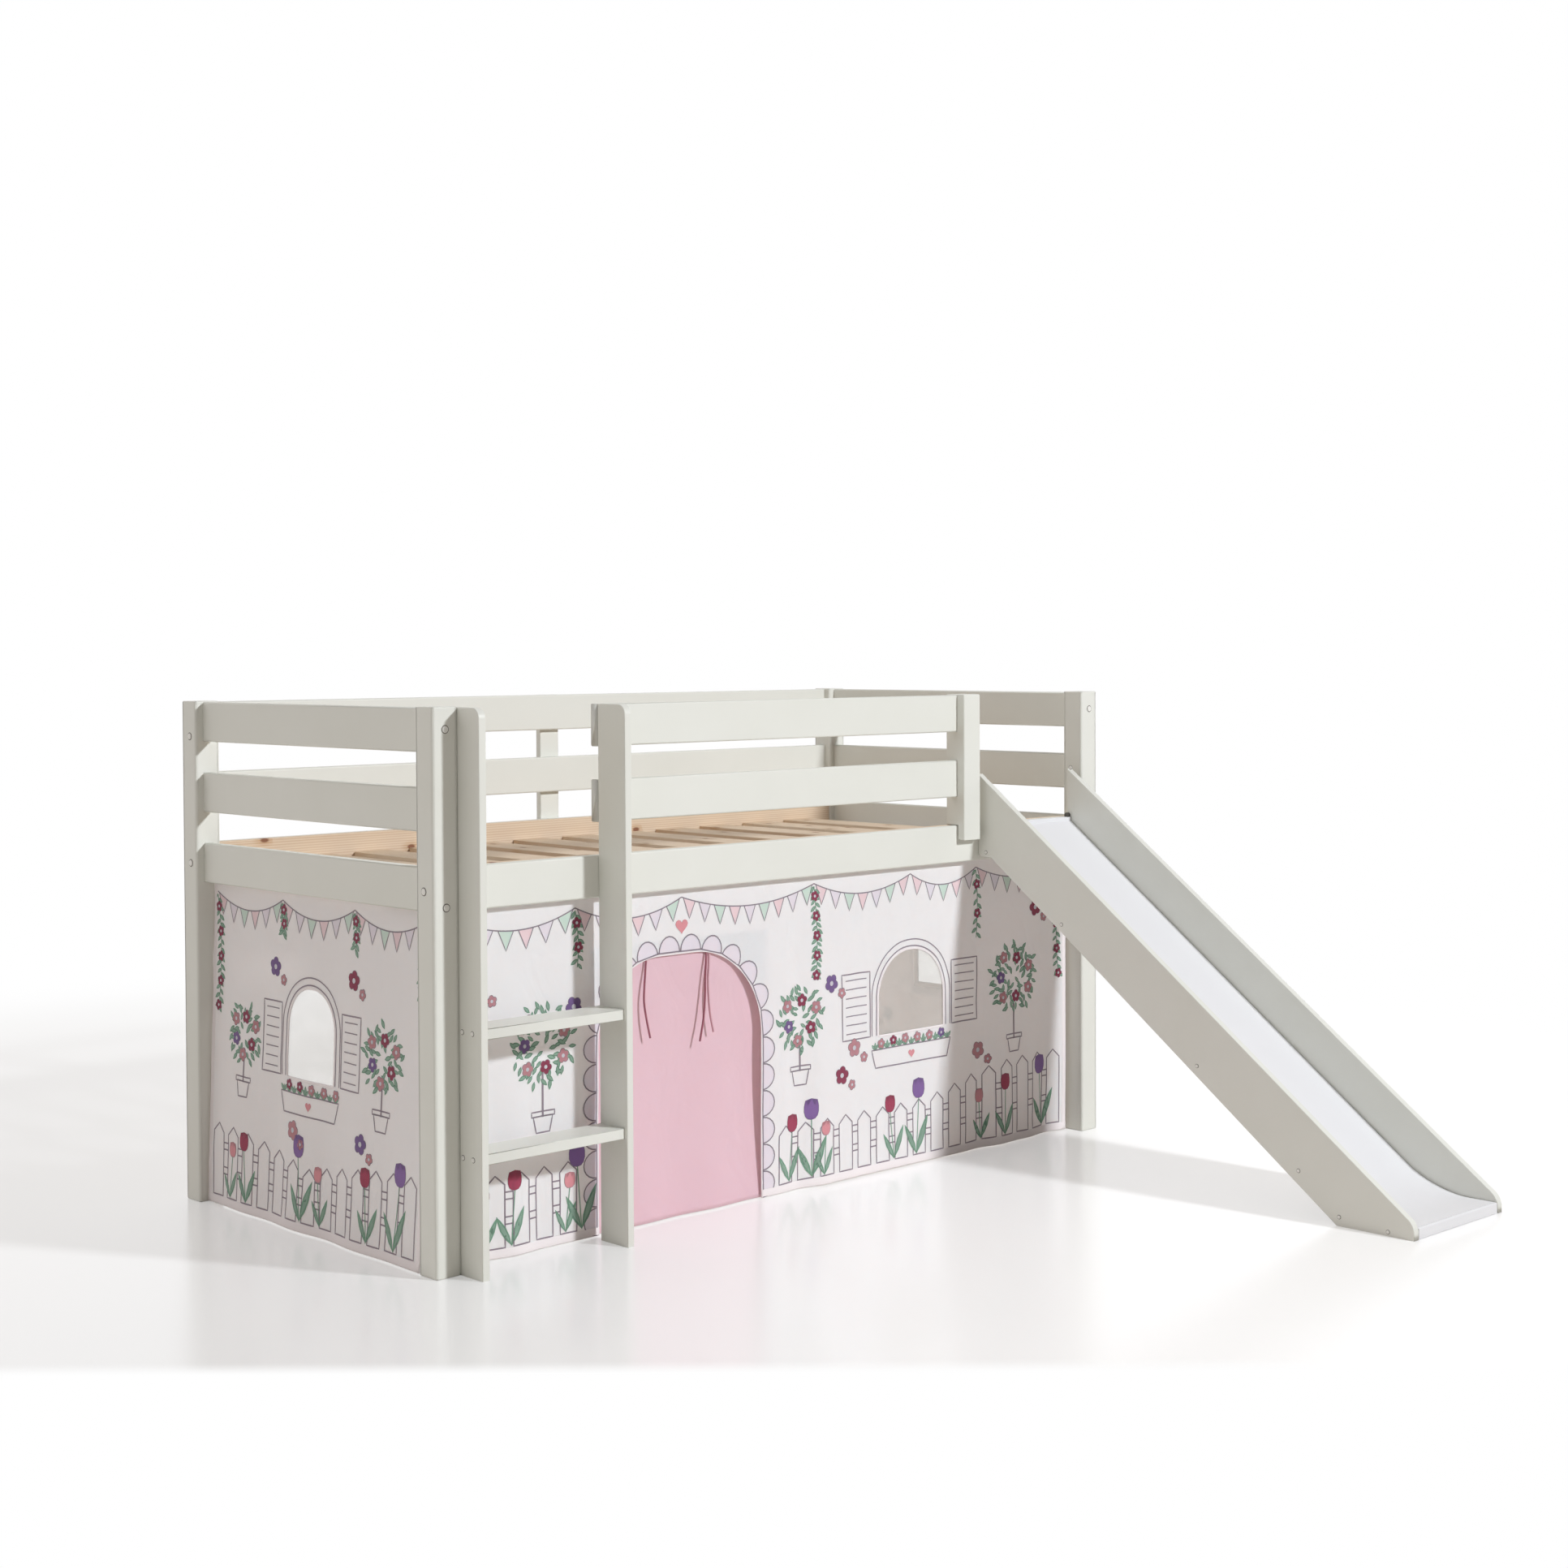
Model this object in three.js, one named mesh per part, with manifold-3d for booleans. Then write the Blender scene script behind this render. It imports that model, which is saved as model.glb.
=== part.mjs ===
// Child's loft bed with a ladder, a slide and a cloth play den under the slats.
// Millimetres, Z up. X runs along the bed from the outer face of the left posts, Y runs back
// from the front face of the posts, and the slide comes down towards -Y. The last lines move
// the whole bed so that the origin is under the middle of its bounding box, on the floor.
import * as THREE from "three";
import { mergeVertices } from "three/addons/utils/BufferGeometryUtils.js";
import Module from "manifold-3d";

const wasm = await Module();
wasm.setup();

// Driving dimensions
const bed = { length: 2084, depth: 982, height: 1140 };
const fit = 0.3; // between pieces that meet
const overrun = 40; // of a cutter past the faces that it cuts
const facet = 0.5; // how far a rounded edge's facets may lie from the true arc
const weld = 0.001; // corners nearer than this are one corner

const post = { side: 60, edgeRadius: 5, endBevel: 3 };
const rail = { thick: 22, tall: 90, gap: 70, inset: 19, topDrop: 2, edgeRadius: 4 };
const batten = { wide: 60, thick: 18, edgeRadius: 3 };
const guardPost = { side: 60, proud: 4, lap: 35, edgeRadius: 4, endBevel: 2 };
const ladder = {
  clearWidth: 356,
  stileThick: 18,
  stileWide: 89,
  topDrop: 2,
  topRadius: 22,
  edgeBevel: 2,
  rungThick: 22,
  rungSetBack: 8,
  rungBackGap: 1,
  rungTops: [250, 500],
  rungRadius: 4,
};
const carrier = { thick: 16, rise: 46, foot: 20, footTall: 20, clothGap: 1.3, topGap: 0.7 };
const slat = { wide: 95, thick: 18, gap: 63, endGap: 1.5, edgeRadius: 2 };
const slide = {
  opening: 398,
  sideGap: 17,
  boardThick: 18,
  boardWide: 140,
  reach: 1197,
  footLength: 190,
  heelRise: 10,
  toeRadius: 35,
  heelRadius: 10,
  edgeBevel: 2,
  sheetThick: 8,
  sheetDrop: 99,
  sheetFoot: 24,
  bendRadius: 250,
  lipRadius: 12,
  lipSetBack: 1,
  lipLift: 1,
  barDeep: 30,
  lowerBarTall: 28,
  lowerBarSetBack: 96,
  rearFootBarSetIn: 7,
  frontFootBarSetBack: 63,
  floorGap: 1,
};
const tape = { thick: 2, tall: 20, lift: 1 };
const cloth = {
  thick: 2.4,
  hem: 3,
  edgeGap: 2,
  rightGap: 14,
  foldDepth: 6,
  foldLength: 310,
  rippleDepth: 2.5,
  rippleLength: 127,
  endFoldDepth: 4,
  endFoldLength: 240,
  columnLength: 27,
  rowHeight: 145,
  flatFade: 88,
  leftSwingFront: 42,
  leftSwingBack: 24,
  rightSwing: 8,
};
const door = {
  left: 450,
  right: 926,
  header: 145,
  leftRadius: 175,
  rightRadius: 200,
  lap: 20,
  topLap: 34,
  hem: 4,
  billow: 28,
  foldDepth: 3,
  foldLength: 210,
  columnLength: 52,
  rowHeight: 56,
};
const windowOpening = { header: 204, tall: 195, frontLeft: 1313, frontWide: 228, frontRadius: 110 };
const endWindow = { middle: 505, wide: 178, radius: 86 };
const film = { thick: 1, lap: 14 };
const tie = { diameter: 5, sides: 8, steps: 14 };
const tieStartShares = [0.286, 0.654, 0.671];
const tieRoutes = [
  ["door_tie_left", [[0, 0, 0], [-2, 0, 22], [-6, -1, 58], [-7, -1, 90], [-1, -2, 128], [9, -2, 169]]],
  ["door_tie_right", [[0, 0, 0], [-2, -1, 22], [-5, -2, 58], [-7, -3, 98], [-12, -3, 146], [-23, -3, 195]]],
  ["door_tie_spare", [[0, 0, 0], [-1, 0, 22], [-3, 0, 58], [-2, 0, 98], [3, 0, 138], [12, 0, 177]]],
];

// Places that follow from them
const swingPower = 1.3;
const railTops = [0, 1, 2].map((level) => bed.height - rail.topDrop - level * (rail.tall + rail.gap));
const railTop = railTops[2];
const railBottom = railTop - rail.tall;
const railInside = rail.inset + rail.thick;
const slatTop = railTop - carrier.rise;
const slatBottom = slatTop - slat.thick;
const stileBack = rail.inset - fit;
const stileFront = stileBack - ladder.stileWide;
const leftStile = post.side + fit;
const rightStile = leftStile + ladder.stileThick + ladder.clearWidth;
const guardPostLeft = bed.length - post.side - slide.opening - guardPost.side;
const slideWide = slide.opening - 2 * slide.sideGap;
const slideLeft = bed.length - post.side - slide.sideGap - slideWide;
const doorwayTop = railBottom - door.header;
const windowTop = railBottom - windowOpening.header;
const windowSill = windowTop - windowOpening.tall;
const clothFace = railInside + fit + tape.thick + fit;
const clothTop = railBottom + tape.lift + tape.tall;

const materials = {
  paint: new THREE.MeshStandardMaterial({ color: 0xe6e5e0, roughness: 0.45, metalness: 0 }),
  pine: new THREE.MeshStandardMaterial({ color: 0xe3c4a0, roughness: 0.6, metalness: 0 }),
  sheet: new THREE.MeshStandardMaterial({ color: 0xf3f3f4, roughness: 0.22, metalness: 0 }),
  cloth: new THREE.MeshStandardMaterial({ color: 0xece6e8, roughness: 0.9, metalness: 0 }),
  pink: new THREE.MeshStandardMaterial({ color: 0xdfbfca, roughness: 0.9, metalness: 0 }),
  film: new THREE.MeshStandardMaterial({
    color: 0xf4f6f8,
    roughness: 0.15,
    metalness: 0,
    transparent: true,
    opacity: 0.3,
  }),
  tape: new THREE.MeshStandardMaterial({ color: 0xe8e8e6, roughness: 0.95, metalness: 0 }),
};

const whole = new THREE.Group();
const frame = new THREE.Group();
const slats = new THREE.Group();
const steps = new THREE.Group();
const chute = new THREE.Group();
const den = new THREE.Group();

function piece(group, name, geometry, material, x = 0, y = 0, z = 0) {
  const mesh = new THREE.Mesh(geometry, material);
  mesh.name = name;
  mesh.position.set(x, y, z);
  group.add(mesh);
}

// One corner of an outline: the ways back and on from it, and half of the angle between them
function cornerAt(corners, i) {
  const here = new THREE.Vector2(...corners[i]);
  const back = new THREE.Vector2(...corners.at(i - 1)).sub(here);
  const on = new THREE.Vector2(...corners[(i + 1) % corners.length]).sub(here);
  const half = Math.acos(back.dot(on) / (back.length() * on.length())) / 2;
  return { here, back, on, half, reach: (corners[i][2] ?? 0) / Math.tan(half) };
}

// A closed outline through corners [across, up, radius], with each radius rounded by an arc. Two
// arcs that would meet on the edge between them are both made smaller.
function outline(corners) {
  const turns = corners.map((corner, i) => cornerAt(corners, i));
  const points = [];
  turns.forEach(({ here, back, on, half, reach }, i) => {
    if (!reach) {
      points.push(here);
      return;
    }
    const backNeed = reach + turns.at(i - 1).reach;
    const onNeed = reach + turns[(i + 1) % turns.length].reach;
    const share = Math.min(1, back.length() / backNeed, on.length() / onNeed);
    const r = corners[i][2] * share;
    back.normalize();
    on.normalize();
    const middle = back.clone().add(on).normalize();
    const centre = here.clone().addScaledVector(middle, r / Math.sin(half));
    const start = here.clone().addScaledVector(back, reach * share).sub(centre);
    const end = here.clone().addScaledVector(on, reach * share).sub(centre);
    const sweep = Math.atan2(start.cross(end), start.dot(end));
    const count = Math.max(2, Math.ceil(Math.abs(sweep) / (2 * Math.acos(1 - Math.min(facet / r, 1)))));
    for (let k = 0; k <= count; k += 1) {
      const angle = (sweep * k) / count;
      points.push(start.clone().rotateAround(new THREE.Vector2(), angle).add(centre));
    }
  });
  return new THREE.Shape(points);
}

// Turns an extrusion so that it runs along the axis named, with its outline across it:
// along x the outline's two directions are Y and Z, and along y they are Z and X.
function along(axis, geometry) {
  const turns = {
    x: [new THREE.Vector3(0, 1, 0), new THREE.Vector3(0, 0, 1), new THREE.Vector3(1, 0, 0)],
    y: [new THREE.Vector3(0, 0, 1), new THREE.Vector3(1, 0, 0), new THREE.Vector3(0, 1, 0)],
  };
  return axis === "z" ? geometry : geometry.applyMatrix4(new THREE.Matrix4().makeBasis(...turns[axis]));
}

// An outline extruded through a thickness, its rims eased by a bevel where one is given.
function plank(axis, corners, thick, bevel = 0) {
  const geometry = new THREE.ExtrudeGeometry(outline(corners), {
    depth: thick - 2 * bevel,
    bevelEnabled: bevel > 0,
    bevelThickness: bevel,
    bevelSize: bevel,
    bevelOffset: -bevel,
    bevelSegments: 2,
    steps: 1,
  });
  return along(axis, geometry.translate(0, 0, bevel));
}

// A straight length of timber with rounded long edges, its lowest corner at the origin.
function timber(axis, length, across, up, radius, endBevel = 0) {
  const corners = [
    [0, 0, radius],
    [across, 0, radius],
    [across, up, radius],
    [0, up, radius],
  ];
  return plank(axis, corners, length, endBevel);
}

function toSolid(geometry) {
  const bare = new THREE.BufferGeometry();
  bare.setAttribute("position", geometry.getAttribute("position"));
  bare.setIndex(geometry.getIndex());
  const merged = mergeVertices(bare, weld);
  return new wasm.Manifold(
    new wasm.Mesh({
      numProp: 3,
      vertProperties: new Float32Array(merged.getAttribute("position").array),
      triVerts: new Uint32Array(merged.getIndex().array),
    }),
  );
}

function cut(geometry, ...cutters) {
  const solid = cutters.reduce((left, cutter) => left.subtract(toSolid(cutter)), toSolid(geometry));
  const mesh = solid.getMesh();
  const made = new THREE.BufferGeometry();
  made.setAttribute("position", new THREE.BufferAttribute(mesh.vertProperties, mesh.numProp));
  made.setIndex(new THREE.BufferAttribute(mesh.triVerts, 1));
  made.computeVertexNormals();
  return made;
}

// Evenly spaced places from low to high, about a step apart
function placesBetween(low, high, step) {
  const count = Math.round((high - low) / step);
  return Array.from({ length: count + 1 }, (_, i) => THREE.MathUtils.lerp(low, high, i / count));
}

// The places that span from near to far, so that a patch lies on the same folds as its cloth
function spanning(places, near, far) {
  return places.slice(
    places.findLastIndex((place) => place <= near),
    places.findIndex((place) => place >= far) + 1,
  );
}

// A closed sheet of cloth over a grid of places. front and back give the point of its two faces
// at each place, with across running to the right as one looks at the front face.
function sheetOfCloth(across, up, front, back) {
  const positions = [];
  const index = [];
  [front, back].forEach((face) => {
    up.forEach((z) => across.forEach((place) => positions.push(...face(place, z))));
  });
  const columns = across.length - 1;
  const rows = up.length - 1;
  const at = (side, i, j) => (side * up.length + j) * across.length + i;
  const quad = (a, b, c, d) => index.push(a, b, c, a, c, d);
  for (let j = 0; j < rows; j += 1) {
    for (let i = 0; i < columns; i += 1) {
      quad(at(0, i, j), at(0, i + 1, j), at(0, i + 1, j + 1), at(0, i, j + 1));
      quad(at(1, i, j), at(1, i, j + 1), at(1, i + 1, j + 1), at(1, i + 1, j));
    }
    quad(at(0, 0, j), at(0, 0, j + 1), at(1, 0, j + 1), at(1, 0, j));
    quad(at(0, columns, j), at(1, columns, j), at(1, columns, j + 1), at(0, columns, j + 1));
  }
  for (let i = 0; i < columns; i += 1) {
    quad(at(0, i, 0), at(1, i, 0), at(1, i + 1, 0), at(0, i + 1, 0));
    quad(at(0, i, rows), at(0, i + 1, rows), at(1, i + 1, rows), at(1, i, rows));
  }
  const geometry = new THREE.BufferGeometry();
  geometry.setAttribute("position", new THREE.Float32BufferAttribute(positions, 3));
  geometry.setIndex(index);
  geometry.computeVertexNormals();
  return geometry;
}

// Frame: posts, rails, the centre batten behind the back rails and the guard over the front rail
function makeFrame() {
  const farX = bed.length - post.side;
  const farY = bed.depth - post.side;
  const upright = timber("z", bed.height, post.side, post.side, post.edgeRadius, post.endBevel);
  piece(frame, "post_front_left", upright, materials.paint);
  piece(frame, "post_front_right", upright, materials.paint, farX);
  piece(frame, "post_back_left", upright, materials.paint, 0, farY);
  piece(frame, "post_back_right", upright, materials.paint, farX, farY);

  const start = post.side + fit;
  const endLength = bed.depth - 2 * start;
  const sideLength = bed.length - 2 * start;
  const endRail = timber("y", endLength, rail.tall, rail.thick, rail.edgeRadius);
  const sideRail = timber("x", sideLength, rail.thick, rail.tall, rail.edgeRadius);
  ["top", "middle", "bed"].forEach((name, level) => {
    const z = railTops[level] - rail.tall;
    piece(frame, `left_${name}_rail`, endRail, materials.paint, rail.inset, start, z);
    piece(frame, `right_${name}_rail`, endRail, materials.paint, bed.length - railInside, start, z);
    piece(frame, `back_${name}_rail`, sideRail, materials.paint, start, bed.depth - railInside, z);
  });
  piece(frame, "front_bed_rail", sideRail, materials.paint, start, rail.inset, railBottom);

  const battenLength = railTops[0] - railBottom;
  const battenShape = timber("z", battenLength, batten.wide, batten.thick, batten.edgeRadius);
  const battenX = (bed.length - batten.wide) / 2;
  const battenY = bed.depth - rail.inset + fit;
  piece(frame, "back_centre_batten", battenShape, materials.paint, battenX, battenY, railBottom);

  const guardLength = guardPostLeft - fit - rightStile;
  const guardRail = timber("x", guardLength, rail.thick, rail.tall, rail.edgeRadius);
  ["top", "lower"].forEach((name, level) => {
    const z = railTops[level] - rail.tall;
    piece(frame, `guard_${name}_rail`, guardRail, materials.paint, rightStile, rail.inset, z);
  });

  // The guard end post stands on the bed rail, and its front half laps down over the rail's face.
  const lapBottom = railTop - guardPost.lap;
  const lapThick = guardPost.proud + rail.inset - fit;
  const side = guardPost.side;
  const stock = timber("z", bed.height - lapBottom, side, side, guardPost.edgeRadius, guardPost.endBevel);
  const notch = new THREE.BoxGeometry(side + 2 * overrun, side, guardPost.lap + fit + overrun);
  notch.translate(side / 2, lapThick + side / 2, (guardPost.lap + fit - overrun) / 2);
  piece(frame, "guard_end_post", cut(stock, notch), materials.paint, guardPostLeft, -guardPost.proud, lapBottom);
}

// Slats across the bed on two carriers, milled to stand on the inner faces of the long bed rails.
// Each carrier's foot holds the slats, and a rebate behind its neck leaves room for the curtain top.
function makeSlats() {
  const start = post.side + fit;
  const length = bed.length - 2 * start;
  const frontFace = railInside + fit;
  const footTop = slatBottom - fit;
  const footBottom = footTop - carrier.footTall;
  const rebateTop = clothTop + carrier.topGap;
  const rebate = clothFace + cloth.thick + carrier.clothGap - frontFace;
  const profile = [
    [0, railTop],
    [0, rebateTop],
    [rebate, rebateTop],
    [rebate, footBottom],
    [carrier.thick + carrier.foot, footBottom],
    [carrier.thick + carrier.foot, footTop],
    [carrier.thick, footTop],
    [carrier.thick, railTop],
  ];
  const mirrored = profile.map(([y, z]) => [-y, z]).reverse();
  piece(slats, "slat_carrier_front", plank("x", profile, length), materials.pine, start, frontFace);
  piece(slats, "slat_carrier_back", plank("x", mirrored, length), materials.pine, start, bed.depth - frontFace);

  const inside = frontFace + carrier.thick + slat.endGap;
  const board = timber("y", bed.depth - 2 * inside, slat.thick, slat.wide, slat.edgeRadius);
  const pitch = slat.wide + slat.gap;
  const count = Math.floor((bed.length - 2 * railInside - slat.gap) / pitch);
  for (let i = 0; i < count; i += 1) {
    const name = `slat_${String(i + 1).padStart(2, "0")}`;
    piece(slats, name, board, materials.pine, railInside + slat.gap + i * pitch, inside, slatBottom);
  }
}

function makeLadder() {
  const top = bed.height - ladder.topDrop;
  const side = [
    [stileFront, 0],
    [stileBack, 0],
    [stileBack, top],
    [stileFront, top, ladder.topRadius],
  ];
  const stile = plank("x", side, ladder.stileThick, ladder.edgeBevel);
  piece(steps, "ladder_stile_left", stile, materials.paint, leftStile);
  piece(steps, "ladder_stile_right", stile, materials.paint, rightStile);
  const length = ladder.clearWidth - 2 * fit;
  const rungDeep = ladder.stileWide - ladder.rungSetBack - ladder.rungBackGap;
  const rung = timber("x", length, rungDeep, ladder.rungThick, ladder.rungRadius);
  const rungX = leftStile + ladder.stileThick + fit;
  ["lower", "upper"].forEach((name, i) => {
    const z = ladder.rungTops[i] - ladder.rungThick;
    piece(steps, `ladder_rung_${name}`, rung, materials.paint, rungX, stileFront + ladder.rungSetBack, z);
  });
}

// The angle of a board whose lower edge starts on the floor, so that a line at a depth inside it
// comes up to a height over a length of floor: length * tan(a) + depth / cos(a) = height
function slideSlope(length, height, depth) {
  return Math.acos(depth / Math.hypot(length, height)) - Math.atan2(length, height);
}

// Slide: two side boards with a level heel and foot, and a sheet that bends out onto the floor.
// The lower edge of the boards starts at the back of the foot, and everything else is set off from it.
function makeSlide() {
  const back = rail.inset - fit;
  const footBack = -slide.reach + slide.footLength;
  const slope = slideSlope(back - footBack, railTop, slide.boardWide - slide.sheetDrop);
  const rise = Math.tan(slope);
  const run = Math.cos(slope);
  const lower = (y) => (y - footBack) * rise;
  const upper = (y) => lower(y) + slide.boardWide / run;
  const heel = railBottom + slide.heelRise;
  const board = [
    [-slide.reach, 0],
    [footBack, 0],
    [footBack + heel / rise, heel],
    [back, heel, slide.heelRadius],
    [back, upper(back)],
    [-slide.reach, upper(-slide.reach), slide.toeRadius],
  ];
  const boardShape = plank("x", board, slide.boardThick, slide.edgeBevel);
  piece(chute, "slide_board_left", boardShape, materials.paint, slideLeft);
  piece(chute, "slide_board_right", boardShape, materials.paint, slideLeft + slideWide - slide.boardThick);

  const sheetLine = (y) => upper(y) - slide.sheetDrop / run;
  const bend = -slide.reach + (slide.sheetFoot - sheetLine(-slide.reach)) / rise;
  const lip = -slide.reach + slide.lipSetBack;
  const thick = slide.sheetThick;
  const under = slide.sheetFoot - thick;
  const underBend = bend + (thick / run - thick) / rise;
  const sheet = [
    [back, sheetLine(back)],
    [bend, slide.sheetFoot, slide.bendRadius],
    [lip, slide.sheetFoot, slide.lipRadius],
    [lip, slide.lipLift],
    [lip + thick, slide.lipLift],
    [lip + thick, under, slide.lipRadius - thick],
    [underBend, under, slide.bendRadius + thick],
    [back, sheetLine(back) - thick / run],
  ];
  const inner = slideLeft + slide.boardThick + fit;
  const innerWide = slideWide - 2 * (slide.boardThick + fit);
  piece(chute, "slide_sheet", plank("x", sheet, innerWide), materials.sheet, inner);

  // The underside of the sheet and its steepness at a distance y, through the bend
  const bendReach = (slide.bendRadius + thick) * Math.tan(slope / 2);
  const bendFloor = underBend - bendReach;
  const underside = (y) => {
    if (y <= bendFloor) return [under, 0];
    if (y >= underBend + bendReach * run) return [sheetLine(y) - thick / run, rise];
    const turn = Math.asin((y - bendFloor) / (slide.bendRadius + thick));
    return [under + (slide.bendRadius + thick) * (1 - Math.cos(turn)), Math.tan(turn)];
  };
  // Cross bars between the boards, each topped to lie against the sheet from below
  const bar = (name, middle, deep, bottom) => {
    const [height, steepness] = underside(middle);
    const top = (y) => height - fit / Math.cos(Math.atan(steepness)) + (y - middle) * steepness;
    const nearY = middle - deep / 2;
    const farY = middle + deep / 2;
    const corners = [
      [nearY, bottom],
      [farY, bottom],
      [farY, top(farY)],
      [nearY, top(nearY)],
    ];
    piece(chute, name, plank("x", corners, innerWide), materials.paint, inner);
  };
  bar("slide_top_cleat", back - slide.barDeep / 2, slide.barDeep, heel);
  const lowerBar = footBack + slide.lowerBarSetBack;
  const [lowerHeight] = underside(lowerBar);
  bar("slide_lower_bar", lowerBar, slide.barDeep, lowerHeight - slide.lowerBarTall);
  bar("slide_rear_foot_bar", footBack - slide.rearFootBarSetIn, slide.barDeep, slide.floorGap);
  bar("slide_front_foot_bar", -slide.reach + slide.frontFootBarSetBack, slide.barDeep, slide.floorGap);
}

// How much of its free swing the cloth has at a height: none behind the rail, all at the hem
function hangShare(z) {
  return THREE.MathUtils.clamp((railBottom - z) / (railBottom - cloth.hem), 0, 1);
}

function wave(at, length) {
  return Math.sin((2 * Math.PI * at) / length);
}

// How far the front curtain stands back from its flat plane. It hangs flat round the door, and
// round the window, where the film stiffens it.
function frontFold(x, z) {
  const { frontLeft, frontWide } = windowOpening;
  const doorFlat = door.lap + cloth.columnLength;
  const filmFlat = film.lap + cloth.columnLength;
  const fromDoor = Math.max(door.left - doorFlat - x, x - door.right - doorFlat);
  const fromWindow = Math.max(frontLeft - filmFlat - x, x - frontLeft - frontWide - filmFlat);
  const fade = THREE.MathUtils.smoothstep(Math.min(fromDoor, fromWindow), 0, cloth.flatFade);
  const folds = cloth.foldDepth * wave(x, cloth.foldLength) + cloth.rippleDepth * wave(x, cloth.rippleLength);
  return fade * hangShare(z) * folds;
}

// How far an end curtain stands out from its flat plane, with its hem kicked out by the swing.
function endSwing(y, z, swingFront, swingBack) {
  const share = (y - post.side) / (bed.depth - 2 * post.side);
  const swing = THREE.MathUtils.lerp(swingFront, swingBack, share);
  const folds = cloth.endFoldDepth * wave(y, cloth.endFoldLength) * Math.sin(Math.PI * share);
  return swing * hangShare(z) ** swingPower + folds * hangShare(z);
}

function leftSwing(y, z) {
  return endSwing(y, z, cloth.leftSwingFront, cloth.leftSwingBack);
}

function rightSwing(y, z) {
  return endSwing(y, z, cloth.rightSwing, cloth.rightSwing);
}

// A layer of the front curtain over a grid of places, set back by a depth
function frontLayer(xs, zs, depth, thick) {
  const face = (set) => (x, z) => [x, clothFace + set + frontFold(x, z), z];
  return sheetOfCloth(xs, zs, face(depth), face(depth + thick));
}

// A layer of an end curtain. outward is -1 at the left end of the bed and 1 at the right end.
function endLayer(outward, swing, ys, zs, depth, thick) {
  const plane = outward < 0 ? clothFace : bed.length - clothFace;
  const face = (set) => (y, z) => [plane - outward * (set - swing(y, z)), y, z];
  return sheetOfCloth(outward < 0 ? ys.toReversed() : ys, zs, face(depth), face(depth + thick));
}

// An arched opening from left to right, with its top corners rounded
function arch(left, right, low, high, leftRadius, rightRadius) {
  return [
    [left, low],
    [right, low],
    [right, high, rightRadius],
    [left, high, leftRadius],
  ];
}

function frontCutter(corners) {
  const depth = clothFace + cloth.thick + 2 * overrun;
  const upright = corners.map(([x, z, radius]) => [z, x, radius]).reverse();
  return plank("y", upright, depth).translate(0, -overrun, 0);
}

function endCutter(corners, x) {
  return plank("x", corners, cloth.thick + cloth.leftSwingFront + 2 * overrun).translate(x, 0, 0);
}

function makeDen() {
  const left = post.side + cloth.edgeGap;
  const right = bed.length - post.side - cloth.rightGap;
  const back = bed.depth - post.side - cloth.edgeGap;
  const xs = placesBetween(left, right, cloth.columnLength);
  const ys = placesBetween(left, back, cloth.columnLength);
  const zs = [...placesBetween(cloth.hem, railBottom, cloth.rowHeight), clothTop];
  const filmZs = spanning(zs, windowSill - film.lap, windowTop + film.lap);
  const filmSet = cloth.thick + fit;
  const tapeZ = railBottom + tape.lift + tape.tall / 2;

  const doorBottom = cloth.hem - overrun;
  const doorway = arch(door.left, door.right, doorBottom, doorwayTop, door.leftRadius, door.rightRadius);
  const { frontLeft, frontWide, frontRadius } = windowOpening;
  const frontRight = frontLeft + frontWide;
  const frontWindow = arch(frontLeft, frontRight, windowSill, windowTop, frontRadius, frontRadius);
  const curtain = cut(frontLayer(xs, zs, 0, cloth.thick), frontCutter(doorway), frontCutter(frontWindow));
  piece(den, "curtain_front", curtain, materials.cloth);
  const filmXs = spanning(xs, frontLeft - film.lap, frontRight + film.lap);
  piece(den, "window_film_front", frontLayer(filmXs, filmZs, filmSet, film.thick), materials.film);
  const frontTape = new THREE.BoxGeometry(right - left, tape.thick, tape.tall);
  const tapeY = railInside + fit + tape.thick / 2;
  piece(den, "curtain_tape_front", frontTape, materials.tape, (left + right) / 2, tapeY, tapeZ);

  const near = endWindow.middle - endWindow.wide / 2;
  const far = endWindow.middle + endWindow.wide / 2;
  const opening = arch(near, far, windowSill, windowTop, endWindow.radius, endWindow.radius);
  const filmYs = spanning(ys, near - film.lap, far + film.lap);
  const endTape = new THREE.BoxGeometry(tape.thick, back - left, tape.tall);
  const ends = [
    ["left", -1, leftSwing, -overrun, tapeY],
    ["right", 1, rightSwing, bed.length - clothFace - cloth.thick - overrun, bed.length - tapeY],
  ];
  ends.forEach(([name, outward, swing, cutterX, tapeX]) => {
    const panel = cut(endLayer(outward, swing, ys, zs, 0, cloth.thick), endCutter(opening, cutterX));
    piece(den, `curtain_${name}`, panel, materials.cloth);
    const pane = endLayer(outward, swing, filmYs, filmZs, filmSet, film.thick);
    piece(den, `window_film_${name}`, pane, materials.film);
    piece(den, `curtain_tape_${name}`, endTape, materials.tape, tapeX, (left + back) / 2, tapeZ);
  });
}

// The door flap hangs from its top edge against the back of the curtain and billows in below.
function makeFlap() {
  const top = doorwayTop + door.topLap;
  const seat = clothFace + cloth.thick + fit;
  const xs = placesBetween(door.left - door.lap, door.right + door.lap, door.columnLength);
  const zs = placesBetween(door.hem, top, door.rowHeight);
  const face = (set) => (x, z) => {
    const share = (z - door.hem) / (top - door.hem);
    const folds = door.foldDepth * (1 + wave(x, door.foldLength)) * (1 - share);
    return [x, seat + set + door.billow * Math.sin(Math.PI * share) + folds, z];
  };
  piece(den, "door_flap", sheetOfCloth(xs, zs, face(0), face(cloth.thick)), materials.pink);
}

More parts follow.
